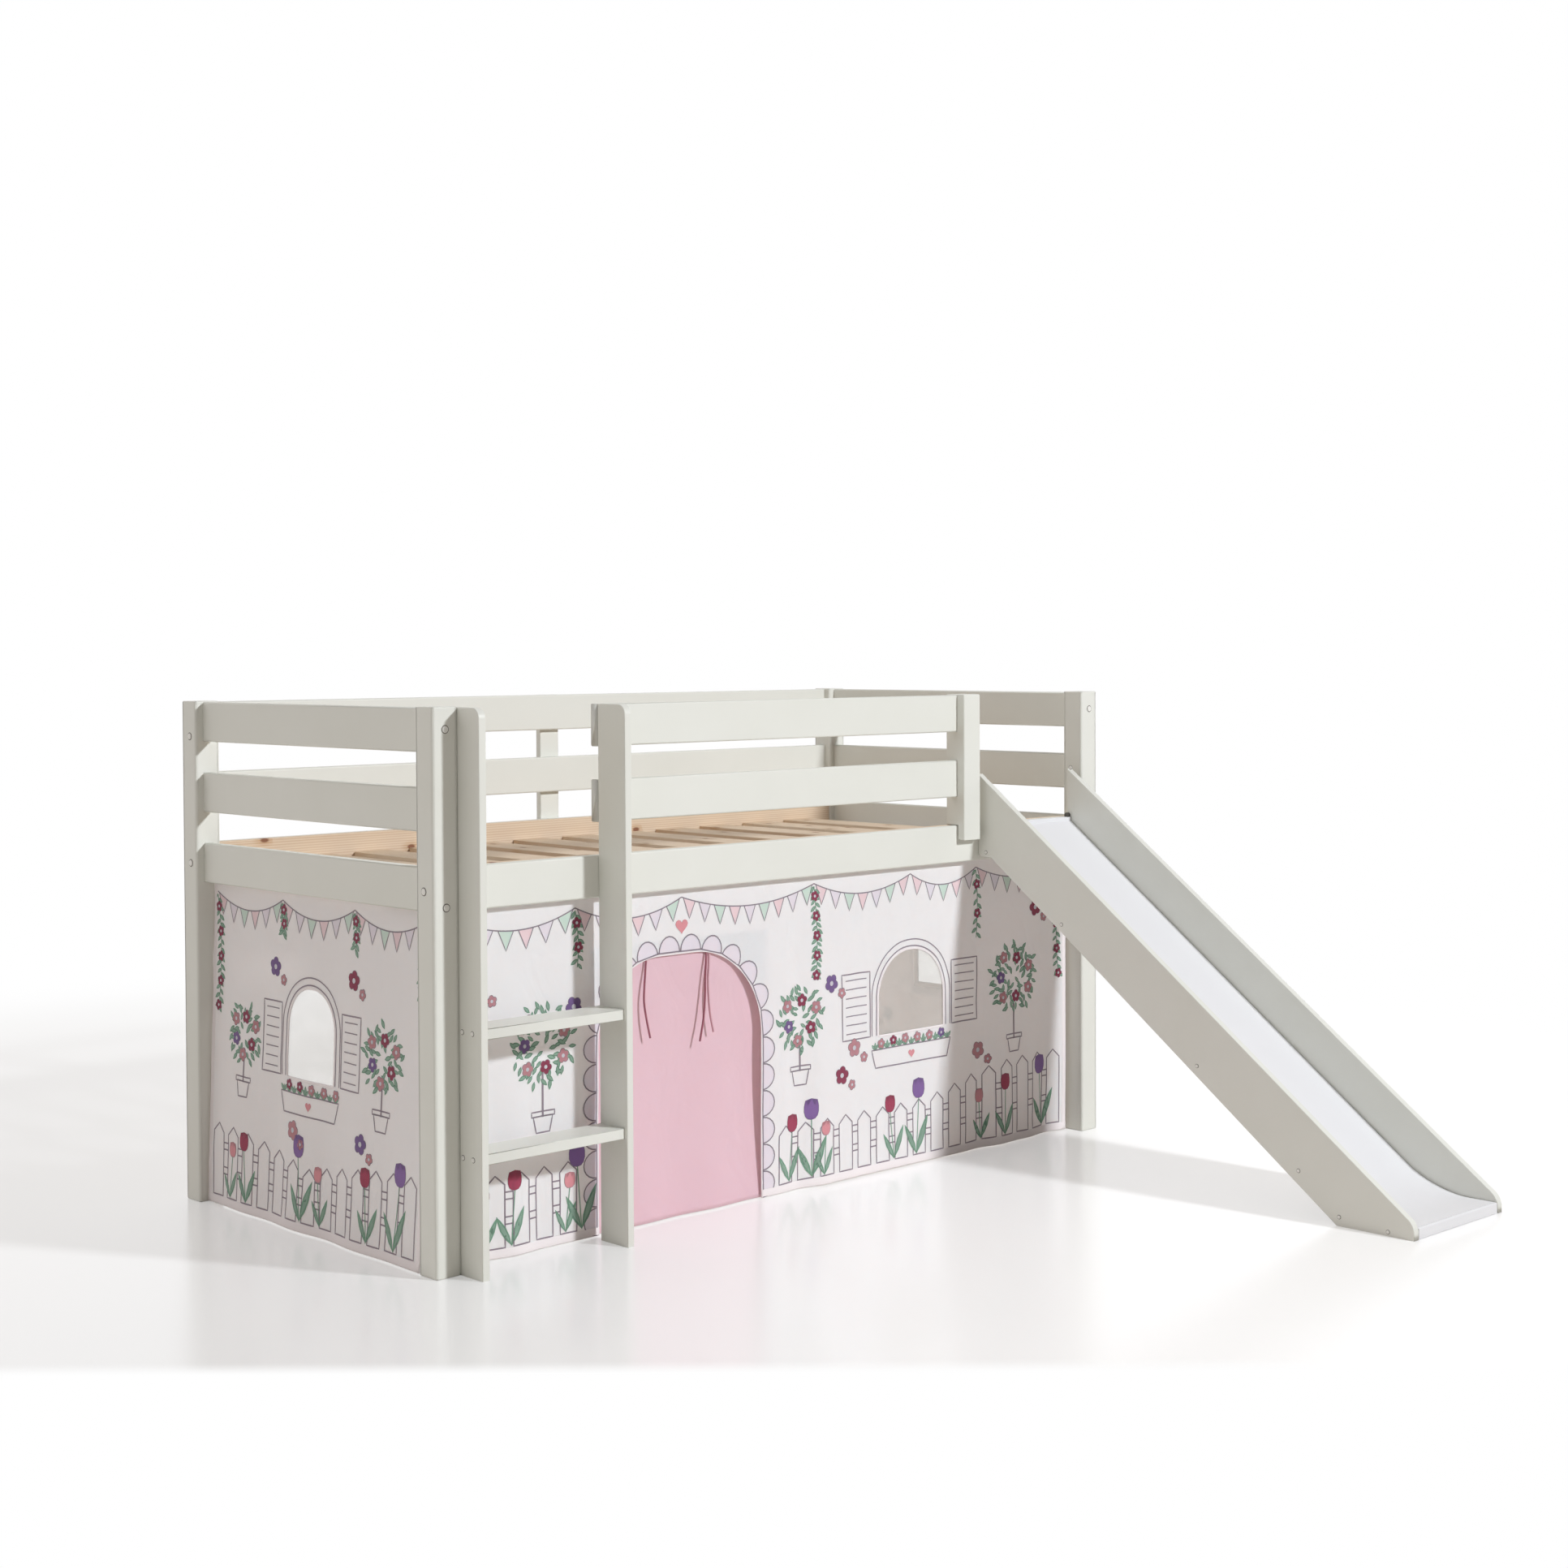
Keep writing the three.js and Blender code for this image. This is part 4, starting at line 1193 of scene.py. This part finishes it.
class Print:
    """A flat drawing in the cloth's own coordinates, made of small inked shapes."""

    def __init__(self, seed):
        self.bm = bmesh.new()
        self.random = random.Random(seed)
        noise.seed_set(seed)

    def shape(self, points, ink, over=0.0):
        """A filled patch, which lies over the shapes of lesser lift."""
        lift = (INK_LIFTS[ink] + over) * MM
        face = self.bm.faces.new([self.bm.verts.new((*point, lift)) for point in points])
        face.material_index = INKS.index(ink)

    def disc(self, centre, radius, ink, over=0.0):
        angles = [math.tau * k / DISC_SIDES for k in range(DISC_SIDES)]
        self.shape([Vector(centre) + polar(angle) * radius for angle in angles], ink, over)

    def stroke(self, points, width=3.2, ink="line", closed=False, wobble=0.9):
        """A drawn line of even width, in millimetres, wandering a little as a hand's would."""
        line = []
        for point in self.resample(points, STROKE_STEP, closed):
            drift = noise.noise_vector(Vector((*point, 0)) * DRIFT_RATE)
            line.append(point + drift.xy * (wobble * MM))
        pairs = []
        for i, point in enumerate(line):
            side = left_of(way_at(line, i, closed)) * (width * MM) / 2
            ends = (point + side, point - side)
            pairs.append([self.bm.verts.new((*end, INK_LIFTS[ink] * MM)) for end in ends])
        for a, b in zip(pairs, pairs[1:] + pairs[:1] if closed else pairs[1:]):
            face = self.bm.faces.new([*a, *b[::-1]])
            face.material_index = INKS.index(ink)

    def resample(self, points, spacing, closed=False):
        points = [Vector(point[:2]) for point in points]
        line = []
        for a, b in zip(points, points[1:] + points[:1] if closed else points[1:]):
            steps = max(1, math.ceil((b - a).length / spacing))
            line.extend(a.lerp(b, k / steps) for k in range(steps))
        return line if closed else [*line, points[-1]]

    def leaf(self, base, angle, length, ink, plump):
        """A pointed leaf that grows from its base in a direction."""
        way = polar(angle)
        side = left_of(way) * length * plump / 2
        stops = [(0.0, 0.0), (0.28, 0.85), (0.55, 1.0), (0.82, 0.55), (1.0, 0.0)]
        right = [Vector(base) + way * length * t + side * w for t, w in stops]
        left = [Vector(base) + way * length * t - side * w for t, w in stops[1:-1]]
        self.shape(right + left[::-1], ink)

    def rimmed_leaf(self, base, angle, length, plump=0.42):
        """A leaf with a darker rim."""
        self.leaf(base, angle, length, "leaf_dark", plump)
        inner = Vector(base) + polar(angle) * length * 0.16
        self.leaf(inner, angle, length * 0.66, "leaf", plump * 0.84)

    def flower(self, centre, radius, ink="rose"):
        """An open flower of five round petals about a pale heart."""
        turn = self.random.uniform(0, math.tau)
        for k in range(PETALS):
            middle = Vector(centre) + polar(turn + math.tau * k / PETALS) * radius * 0.56
            self.disc(middle, radius * 0.47, "line")
            self.disc(middle, radius * 0.47 - 1.3 * MM, ink)
        self.disc(centre, radius * 0.27, "wash", 0.45)

    def heart(self, centre, size):
        points = []
        for k in range(20):
            t = math.tau * k / 20
            x = 16 * math.sin(t) ** 3
            y = 13 * math.cos(t) - 5 * math.cos(2 * t) - 2 * math.cos(3 * t) - math.cos(4 * t)
            points.append(Vector(centre) + Vector((x, y)) * size / 32)
        self.shape(points, "rose")

    def tulip(self, base, height, ink):
        """A tulip on its stem, with two leaves."""
        lean = self.random.uniform(-0.12, 0.12)
        top = Vector(base) + Vector((lean * height, height))
        self.stroke([base, top], 2.6, "leaf_dark", wobble=0)
        self.rimmed_leaf(base, math.pi / 2 + 0.5, height * 0.62, 0.2)
        self.rimmed_leaf(base, math.pi / 2 - 0.42, height * 0.72, 0.2)
        cup = [(0, -0.14), (0.24, -0.09), (0.4, 0.06), (0.48, 0.3), (0.48, 0.6), (0.4, 0.95), (0.22, 0.66)]
        outline = [*cup, (0, 1.04), *[(-x, z) for x, z in cup[:0:-1]]]
        petals = [top + Vector(point) * (height * 0.3) for point in outline]
        self.shape(petals, ink)
        self.stroke(petals, 1.6, closed=True, wobble=0)

    def bush(self, x, z, radius, blooms):
        """A round bush of small leaves and flowers on a stem, in a pot."""
        foot = z - radius * 2.35
        self.stroke([(x, z - radius * 0.7), (x, foot + 32 * MM)], 5, wobble=0)
        count = int(radius * radius * math.pi / (15 * MM) ** 2)
        for k in range(count):
            r = radius * math.sqrt((k + 0.5) / count)
            a = k * GOLDEN_TURN
            base = Vector((x + r * math.cos(a), z + r * math.sin(a)))
            self.rimmed_leaf(base, a + self.random.uniform(-1.2, 1.2), self.random.uniform(20, 26) * MM)
        for k in range(blooms):
            a = math.tau * k / blooms + 0.4
            r = radius * (0.62 if k % 2 else 0.8)
            self.flower((x + r * math.cos(a), z + r * math.sin(a)), 16 * MM, BLOOM_INKS[k % 4])
        for pot in (((-26, 34), (-18, 0), (18, 0), (26, 34)), ((-31, 44), (-31, 34), (31, 34), (31, 44))):
            self.stroke([(x + a * MM, foot + b * MM) for a, b in pot], closed=True)

    def vine(self, points, bloom_every, ink):
        """A stem with a leaf on each side by turns, and a flower now and then."""
        line = self.resample(points, 15 * MM)
        self.stroke(line, 2.2, "leaf_dark", wobble=0)
        for k, (a, b) in enumerate(zip(line, line[1:])):
            way = math.atan2((b - a).y, (b - a).x)
            side = 1 if k % 2 else -1
            self.rimmed_leaf(a, way + side * self.random.uniform(0.7, 1.0), self.random.uniform(18, 24) * MM)
            if k % bloom_every == bloom_every // 2:
                self.flower(a, 13 * MM, ink)

    def bunting(self, start, end, sag):
        """A string of small pennants between two points."""
        a, b = Vector(start), Vector(end)

        def at(share):
            return a.lerp(b, share) - Vector((0, sag * 4 * share * (1 - share)))

        self.stroke([at(k / 24) for k in range(25)], 2.6, wobble=0)
        count = max(3, round((b - a).length / (48 * MM)))
        for k in range(count):
            left, right = at((k + 0.12) / count), at((k + 0.88) / count)
            pennant = [left, (left + right) / 2 - Vector((0, 42 * MM)), right]
            self.shape(pennant, ("blush", "wash", "mint")[k % 3])
            self.stroke(pennant, 2.2, wobble=0)

    def tail(self, top, length, bend):
        """A loose end of vine that hangs from the bunting."""
        steps = 14
        points = [
            Vector(top) + Vector((bend * math.sin(2.6 * k / steps), -length * k / steps))
            for k in range(steps + 1)
        ]
        self.vine(points, 6, "berry")

    def fence(self, left, right, heights):
        """Pickets with pointed tops along the hem, tied by two rails."""
        pitch, wide, bottom = 64 * MM, 44 * MM, 24 * MM
        count = max(1, int((right - left - wide) / pitch) + 1)
        start = left + (right - left - wide - (count - 1) * pitch) / 2
        tops = []
        for k in range(count):
            x = start + k * pitch
            height = heights(x + wide / 2)
            shoulder = bottom + height - 20 * MM
            picket = [
                (x, bottom), (x, shoulder), (x + wide / 2, bottom + height),
                (x + wide, shoulder), (x + wide, bottom),
            ]
            self.stroke(picket, closed=True)
            tops.append((x, height))
        for (x, low), (next_x, high) in zip(tops, tops[1:]):
            for share in (0.32, 0.66):
                for lift in (0, 15 * MM):
                    z = bottom + min(low, high) * share + lift
                    self.stroke([(x + wide, z), (next_x, z)])

    def scallops(self, line, size, inset):
        """A row of half rounds along the outside of a line, with their straight edge."""
        marks = self.evenly(line, size)
        for (a, way_a), (b, way_b) in zip(marks, marks[1:]):
            way = (way_a + way_b).normalized()
            side = left_of(way)
            start = (a + b) / 2 + side * inset
            chord = (b - a).length / 2
            bulge = [
                start + way * -chord * 0.96 * math.cos(t) + side * chord * 1.15 * math.sin(t)
                for t in (math.pi * k / 10 for k in range(11))
            ]
            self.shape(bulge, "wash")
            self.stroke(bulge, 3, wobble=0.4)
        self.stroke([point + left_of(way) * inset for point, way in marks], 3, wobble=0.4)

    def evenly(self, line, size):
        """Points and directions at even steps of about one size along a line."""
        lengths = [(b - a).length for a, b in zip(line, line[1:])]
        total = sum(lengths)
        count = max(2, round(total / size))
        marks = []
        i, gone = 0, 0.0
        for k in range(count + 1):
            at = total * k / count
            while i < len(lengths) - 1 and gone + lengths[i] < at:
                gone += lengths[i]
                i += 1
            way = (line[i + 1] - line[i]).normalized()
            marks.append((line[i] + way * (at - gone), way))
        return marks

    def window_dressing(self, window):
        """A double frame round a window, a pair of shutters and a flower box below."""
        left, wide, radius = window
        right = left + wide
        sill, top = window_rows()
        for gap in (9 * MM, 25 * MM):
            corners = [
                (left - gap, sill, 0), (left - gap, top + gap, radius + gap),
                (right + gap, top + gap, radius + gap), (right + gap, sill, 0),
            ]
            self.stroke(rounded(corners, 12 * MM, closed=False), 3)
        shutter = wide * 0.42
        high = sill + settings().cloth.window_tall * 0.8
        slats = 7
        for x in (left - 31 * MM - shutter, right + 31 * MM):
            self.stroke([(x, sill), (x + shutter, sill), (x + shutter, high), (x, high)], closed=True)
            for k in range(slats):
                z = sill + (high - sill) * (k + 0.7) / (slats + 0.4)
                self.stroke([(x + 12 * MM, z), (x + shutter - 12 * MM, z)], 2.4)
        soil = sill - 34 * MM
        low = soil - 44 * MM
        box = [(left - 26 * MM, soil), (right + 26 * MM, soil), (right + 12 * MM, low), (left - 12 * MM, low)]
        self.stroke(box, closed=True)
        self.heart((left + wide / 2, (soil + low) / 2), 22 * MM)
        count = int(wide / (18 * MM))
        for k in range(count + 1):
            x = left - 14 * MM + (wide + 28 * MM) * k / count
            for turn in (-0.7, 0.0, 0.7):
                self.rimmed_leaf((x, soil), math.pi / 2 + turn, self.random.uniform(15, 22) * MM)
            if k % 2:
                ink = self.random.choice(BLOOM_INKS)
                self.flower((x, soil + self.random.uniform(12, 17) * MM), 13 * MM, ink)

    def finish(self, name, curtain):
        """Sets the drawing on its curtain, just proud of the cloth."""
        bmesh.ops.triangulate(self.bm, faces=self.bm.faces)
        for _ in range(4):
            long_edges = [edge for edge in self.bm.edges if edge.calc_length() > LONGEST_EDGE]
            if not long_edges:
                break
            bmesh.ops.subdivide_edges(self.bm, edges=long_edges, cuts=1)
            bmesh.ops.triangulate(self.bm, faces=self.bm.faces)
        map_layer = self.bm.loops.layers.uv.new("cloth")
        for face in self.bm.faces:
            for loop in face.loops:
                loop[map_layer].uv = loop.vert.co.xy
        for vert in self.bm.verts:
            vert.co = curtain.place(vert.co.x, vert.co.y, -vert.co.z)
        self.bm.normal_update()
        wrong = [face for face in self.bm.faces if face.normal.dot(curtain.out) < 0]
        bmesh.ops.reverse_faces(self.bm, faces=wrong)
        return add_piece(name, self.bm, INKS)


def front_garden(drawing, curtain):
    """Draws the front curtain's doorway edge, bushes and fence, and says where all else goes."""
    width, doorway = curtain.width, curtain.doorway()
    left, right = doorway[0][0], doorway[-1][0]
    middle = (left + right) / 2
    window = curtain.window[0]
    after = window + curtain.window[1]
    drawing.scallops(rounded(doorway, 8 * MM, closed=False), 62 * MM, 6 * MM)
    drawing.heart((middle, door_top() + 62 * MM), 36 * MM)
    drawing.bush(left - 150 * MM, 430 * MM, 78 * MM, 7)
    drawing.bush(right + 125 * MM, 400 * MM, 66 * MM, 6)
    drawing.bush(after + 262 * MM, 420 * MM, 80 * MM, 7)
    drawing.fence(16 * MM, left - 50 * MM, lambda x: 150 * MM)
    drawing.fence(
        right + 52 * MM, width - 20 * MM, lambda x: (132 + 60 * smoothstep((x - 1.35) / 0.4)) * MM
    )
    drops = [
        16 * MM, left - 60 * MM, middle, right + 170 * MM, window + 110 * MM, after + 120 * MM, width - 16 * MM
    ]
    tails = {0: 230, 1: 120, 3: 215, 5: 170, 6: 300}
    blooms = [
        (left - 66 * MM, 500, "violet"), (right + 225 * MM, 470, "violet"), (window - 130 * MM, 250, "berry"),
        (after + 130 * MM, 250, "rose"), (75 * MM, 560, "berry"), (after + 350 * MM, 590, "berry"),
        (right + 300 * MM, 310, "rose"),
    ]
    tulips = [0.09, 0.15, 0.34, left - 0.09, right + 0.09, right + 0.16, 1.06, 1.3, 1.38, 1.62, 1.7, 1.86]
    return drops, tails, blooms, tulips


def end_garden(drawing, curtain):
    """Draws an end curtain's bushes and fence, and says where all else goes."""
    width = curtain.width
    window = curtain.window[0]
    after = window + curtain.window[1]
    drawing.bush(window - 182 * MM, 400 * MM, 60 * MM, 6)
    drawing.bush(after + 190 * MM, 410 * MM, 64 * MM, 6)
    drawing.fence(16 * MM, width - 16 * MM, lambda x: (118 + 46 * abs(math.cos(math.pi * x / width))) * MM)
    drops = [16 * MM, width * 0.34, width * 0.67, width - 16 * MM]
    tails = {0: 260, 1: 70, 2: 80, 3: 200}
    blooms = [
        (window - 60 * MM, 560, "violet"), (after + 74 * MM, 560, "berry"),
        (window + 30 * MM, 215, "rose"), (after + 120 * MM, 225, "violet"),
    ]
    return drops, tails, blooms, [0.1, 0.17, 0.4, 0.47, width - 0.2, width - 0.1]


def print_design(curtain):
    """The cottage garden printed on a curtain: bunting along its top, vines and flowers from the
    drops between its lengths, loose flowers on the wall and tulips at the foot of the fence."""
    drawing = Print(11 + len(curtain.name))
    drawing.window_dressing(curtain.window)
    garden = front_garden if curtain.doorway() else end_garden
    drops, tails, blooms, tulips = garden(drawing, curtain)
    for a, b in zip(drops, drops[1:]):
        drawing.bunting((a, RAIL_BOTTOM - 20 * MM), (b, RAIL_BOTTOM - 20 * MM), 34 * MM)
    for k, length in tails.items():
        at = drops[k]
        inward = 20 * MM if at < 0.1 else -20 * MM if at > curtain.width - 0.1 else 8 * MM
        drawing.tail((at, RAIL_BOTTOM - 26 * MM), length * MM, inward)
    for across, height, ink in blooms:
        drawing.flower((across, height * MM), 22 * MM, ink)
        drawing.flower((across + 34 * MM, height * MM - 26 * MM), 13 * MM)
    for k, across in enumerate(tulips):
        drawing.tulip((across, 26 * MM), (96 + 22 * (k % 3)) * MM, ("rose", "berry", "violet")[k % 3])
    return drawing.finish(f"{curtain.name}_print", curtain)


class DoorFlap(Curtain):
    """The cloth door, which hangs behind the doorway and billows in."""

    def __init__(self):
        self.low, self.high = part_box("door_flap")
        super().__init__("door", self.high.x - self.low.x)

    def place(self, across, up, depth=0.0):
        share = (up - self.low.z) / (self.high.z - self.low.z)
        share = min(max(share, 0.0), 1.0)
        at = self.low.x - BED_LOW.x + across
        folds = 3 * MM * (1 + wave(at, 210 * MM)) * (1 - share)
        billow = settings().cloth.billow * math.sin(math.pi * share)
        pucker = noise.noise(Vector((across * 9, up * 3, 3))) * 1.2 * MM * math.sin(math.pi * share)
        return Vector((self.low.x + across, self.low.y + depth + billow + folds + pucker, up))


class BED_OT_door(BuildOperator, Operator):
    """Hangs the cloth door with its hems"""

    bl_idname = "bed.door"
    bl_label = "Cloth door"

    def execute(self, context):
        flap = DoorFlap()
        low, high, width = flap.low.z, flap.high.z, flap.width
        outer = rounded([(0, low, 0), (width, low, 0), (width, high, 0), (0, high, 0)], 10 * MM)
        piece = cloth_piece(
            "door_cloth", flap, outer, [], "door", "door_flap", body="door_flap"
        )
        for part, a, b, wide in (
            ("bottom", (0, low), (width, low), 16),
            ("right", (width, low), (width, high), 9),
            ("left", (0, high), (0, low), 9),
        ):
            hem_piece(
                f"door_hem_{part}", flap, even_line(a, b), wide * MM, finish="door_hem", lift=0.25 * MM,
                depth=0.25 * MM, body="door_flap",
            )
        return {"FINISHED"}


class BED_OT_tapes(BuildOperator, Operator):
    """Finishes the hook-and-loop strips that hold the curtains"""

    bl_idname = "bed.tapes"
    bl_label = "Curtain tapes"

    def execute(self, context):
        for side in ("front", "left", "right"):
            dress(f"curtain_tape_{side}", "tape")
        return {"FINISHED"}


def cap_places():
    """Places, directions and radii of the caps on the posts, the ladder and the slide's boards."""
    sizes = settings().timber
    low, high = BED_LOW, BED_HIGH
    left, front = Vector((-1, 0, 0)), Vector((0, -1, 0))
    big, small = sizes.cap_radius, sizes.small_cap_radius
    places = []

    def on_side(x, way, radius, spots):
        places.extend((Vector((x, low.y + y * MM, z * MM)), way, radius) for y, z in spots)

    for x in (30, 2055):
        for z in (1095, 740):
            for y, way in ((low.y, front), (high.y, -front)):
                places.append((Vector((low.x + x * MM, y, z * MM)), way, big))
    board_left, board_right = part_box("slide_board_left")[0].x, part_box("slide_board_right")[1].x
    stile_left, stile_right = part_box("ladder_stile_left")[0].x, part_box("ladder_stile_right")[1].x
    on_stile = [(y, z) for z in (490, 238) for y in (-42, -8)]
    on_board = [(-6, 749), (-245, 590), (-640, 300), (-911, 104), (-1014, 20), (-1134, 9)]
    for post, stile, board, way in (
        (low.x, stile_left, board_left, left), (high.x, stile_right, board_right, -left)
    ):
        on_side(post, way, big, [(34, 772), (948, 772), (948, 1060)])
        on_side(stile, way, small, on_stile)
        on_side(board, way, 0.84 * small, on_board)
    on_side(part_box("slide_board_right")[0].x, left, small, [(8, 945)])
    return places


def add_disc(bm, place, way, radius, height, edge):
    """A low round disc with a rounded rim, set on a face and let into it a little."""
    sunk = 0.4 * MM
    turn = Vector((0, 0, 1)).rotation_difference(way).to_matrix().to_4x4()
    centre = Matrix.Translation(place + way * (height - sunk) / 2)
    made = bmesh.ops.create_cone(
        bm, cap_ends=True, segments=28, radius1=radius, radius2=radius,
        depth=height + sunk, matrix=centre @ turn,
    )["verts"]
    rim = [
        edge for edge in dict.fromkeys(edge for vert in made for edge in vert.link_edges)
        if all((vert.co - place).dot(way) > height / 2 for vert in edge.verts)
    ]
    round_edges(bm, rim, edge, 3)


class BED_OT_caps(BuildOperator, Operator):
    """Sets the small caps over the bolts and screws, each in a dark ring of painted shade for its recess"""

    bl_idname = "bed.caps"
    bl_label = "Bolt caps"

    def execute(self, context):
        sizes = settings().timber
        caps, rings, bolt = bmesh.new(), bmesh.new(), bmesh.new()
        for place, way, radius in cap_places():
            add_disc(caps, place, way, radius, sizes.cap_height, sizes.cap_height * 0.6)
            ring = radius + sizes.cap_ring * radius / sizes.cap_radius
            # A low dark disc behind each cap, painted shade for the shadow in its recess.
            add_disc(rings, place, way, ring, 0.3 * MM, 0.1 * MM)
        head = Vector((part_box("slide_board_right")[0].x, BED_LOW.y + 16 * MM, 822 * MM))
        add_disc(bolt, head, Vector((-1, 0, 0)), 7 * MM, 8 * MM, 0.8 * MM)
        weigh_normals(add_piece("bolt_caps", caps, ["cap"]))
        weigh_normals(add_piece("bolt_cap_rings", rings, ["cap_ring"]))
        weigh_normals(add_piece("slide_hanger_bolt", bolt, ["bolt"]))
        return {"FINISHED"}


class BED_OT_stage(BuildOperator, Operator):
    """Sets up the floor, the background and the lights"""

    bl_idname = "bed.stage"
    bl_label = "Stage"

    def execute(self, context):
        stage = settings().stage
        context.scene.view_settings.view_transform = "Standard"
        self.floor(stage)
        self.world(stage)
        self.lamp(stage)
        return {"FINISHED"}

    def lamp(self, stage):
        """The main lamp, as strong far away as it is near."""
        data = bpy.data.lights.new("key", "AREA")
        data.shape = "DISK"
        data.size = stage.key_size
        data.energy = stage.key_power
        data.color = stage.key_colour
        data.use_nodes = True
        shading = Shading(data.node_tree)
        even = shading.node("ShaderNodeLightFalloff", inputs={"Strength": 1.0, "Smooth": 0.0})
        shading.feed(data.node_tree.nodes["Emission"].inputs["Strength"], even.outputs["Constant"])
        lamp = bpy.data.objects.new("key", data)
        place = Vector(stage.key_place)
        turn = (place - Vector(stage.key_aim)).to_track_quat("Z", "Y")
        lamp.matrix_world = Matrix.Translation(place) @ turn.to_matrix().to_4x4()
        bpy.context.scene.collection.objects.link(lamp)

    def floor(self, stage):
        """A pale polished floor that fades into the white background, its colour darker on the left as painted
        shade.
        """
        bm = bmesh.new()
        bmesh.ops.create_grid(bm, x_segments=2, y_segments=2, size=40)
        mesh = bpy.data.meshes.new("floor")
        bm.to_mesh(mesh)
        bm.free()
        floor = bpy.data.objects.new("floor", mesh)
        bpy.context.scene.collection.objects.link(floor)
        finish = Finish("studio_floor")
        flat = finish.place(turn=(0, 0, stage.heading))
        nearness, sideways = finish.axis(flat, "X"), finish.axis(flat, "Y")
        plain = finish.node("ShaderNodeBsdfDiffuse", inputs={"Color": stage.bounce})
        # The base colour runs darker towards the left: painted shade for the dimmer light there.
        finish.set(
            Base_Color=finish.range(sideways, -0.35, 0.85, stage.floor_right, stage.floor_left),
            Roughness=stage.floor_gloss, Emission_Color=(1, 1, 1, 1),
            Emission_Strength=stage.floor_glow, Specular_IOR_Level=0.62,
        )
        white = finish.node("ShaderNodeEmission", inputs={"Color": (1, 1, 1), "Strength": 1.0})
        level = finish.place()
        across = finish.axis(level, "X") - stage.pool[0]
        along = finish.axis(level, "Y") - stage.pool[1]
        away = finish.maths("SQRT", across * across + along * along)
        far = finish.range(away, stage.pool_inner, stage.pool_outer)
        near = finish.range(nearness, stage.floor_front, stage.floor_front - stage.front_fade)
        shown = finish.blend(finish.maths("MAXIMUM", far, near), finish.shader, white)
        finish.output("Material Output", plain, shown)
        mesh.materials.append(finish.material)

    def world(self, stage):
        """Even light from all round, stronger from behind, before a white background."""
        world = bpy.data.worlds.new("studio")
        bpy.context.scene.world = world
        world.use_nodes = True
        shading = Shading(world.node_tree)
        way = shading.node("ShaderNodeTexCoord").outputs["Generated"]
        x, y, z = (shading.axis(way, letter) * lean for letter, lean in zip("XYZ", stage.fill_lean))
        strength = shading.maths("MAXIMUM", x + y + z + stage.fill, 0.02)
        side = shading.range(shading.axis(way, "X"), -0.7, 0.1)
        tint = shading.mix(side, stage.fill_left, stage.fill_colour)
        fill = shading.node("ShaderNodeBackground", inputs={"Color": tint, "Strength": strength})
        white = shading.node("ShaderNodeBackground", inputs={"Color": (1, 1, 1), "Strength": 1.0})
        shading.output("World Output", fill, white)


OPERATORS = (
    BED_OT_camera, BED_OT_ties, BED_OT_frame, BED_OT_slats, BED_OT_ladder, BED_OT_slide,
    BED_OT_curtains, BED_OT_door, BED_OT_tapes, BED_OT_caps, BED_OT_stage,
)


class BED_PT_panel(Panel):
    """Lists the bed's operators in the sidebar"""

    bl_idname = "BED_PT_panel"
    bl_label = "Loft Bed"
    bl_space_type = "VIEW_3D"
    bl_region_type = "UI"
    bl_category = "Loft Bed"

    def draw(self, context):
        for operator in OPERATORS:
            self.layout.operator(operator.bl_idname)


CLASSES = (
    TimberSettings, SlideSettings, ClothSettings, StageSettings, LoftBedSettings, *OPERATORS, BED_PT_panel,
)


def register():
    for made in CLASSES:
        bpy.utils.register_class(made)
    bpy.types.Scene.loft_bed = PointerProperty(type=LoftBedSettings)


def unregister():
    del bpy.types.Scene.loft_bed
    for made in reversed(CLASSES):
        bpy.utils.unregister_class(made)


def main():
    register()
    bpy.ops.bed.camera()
    bpy.ops.bed.ties()
    bpy.ops.bed.frame()
    bpy.ops.bed.slats()
    bpy.ops.bed.ladder()
    bpy.ops.bed.slide()
    bpy.ops.bed.curtains()
    bpy.ops.bed.door()
    bpy.ops.bed.tapes()
    bpy.ops.bed.caps()
    bpy.ops.bed.stage()


if __name__ == "__main__":
    main()
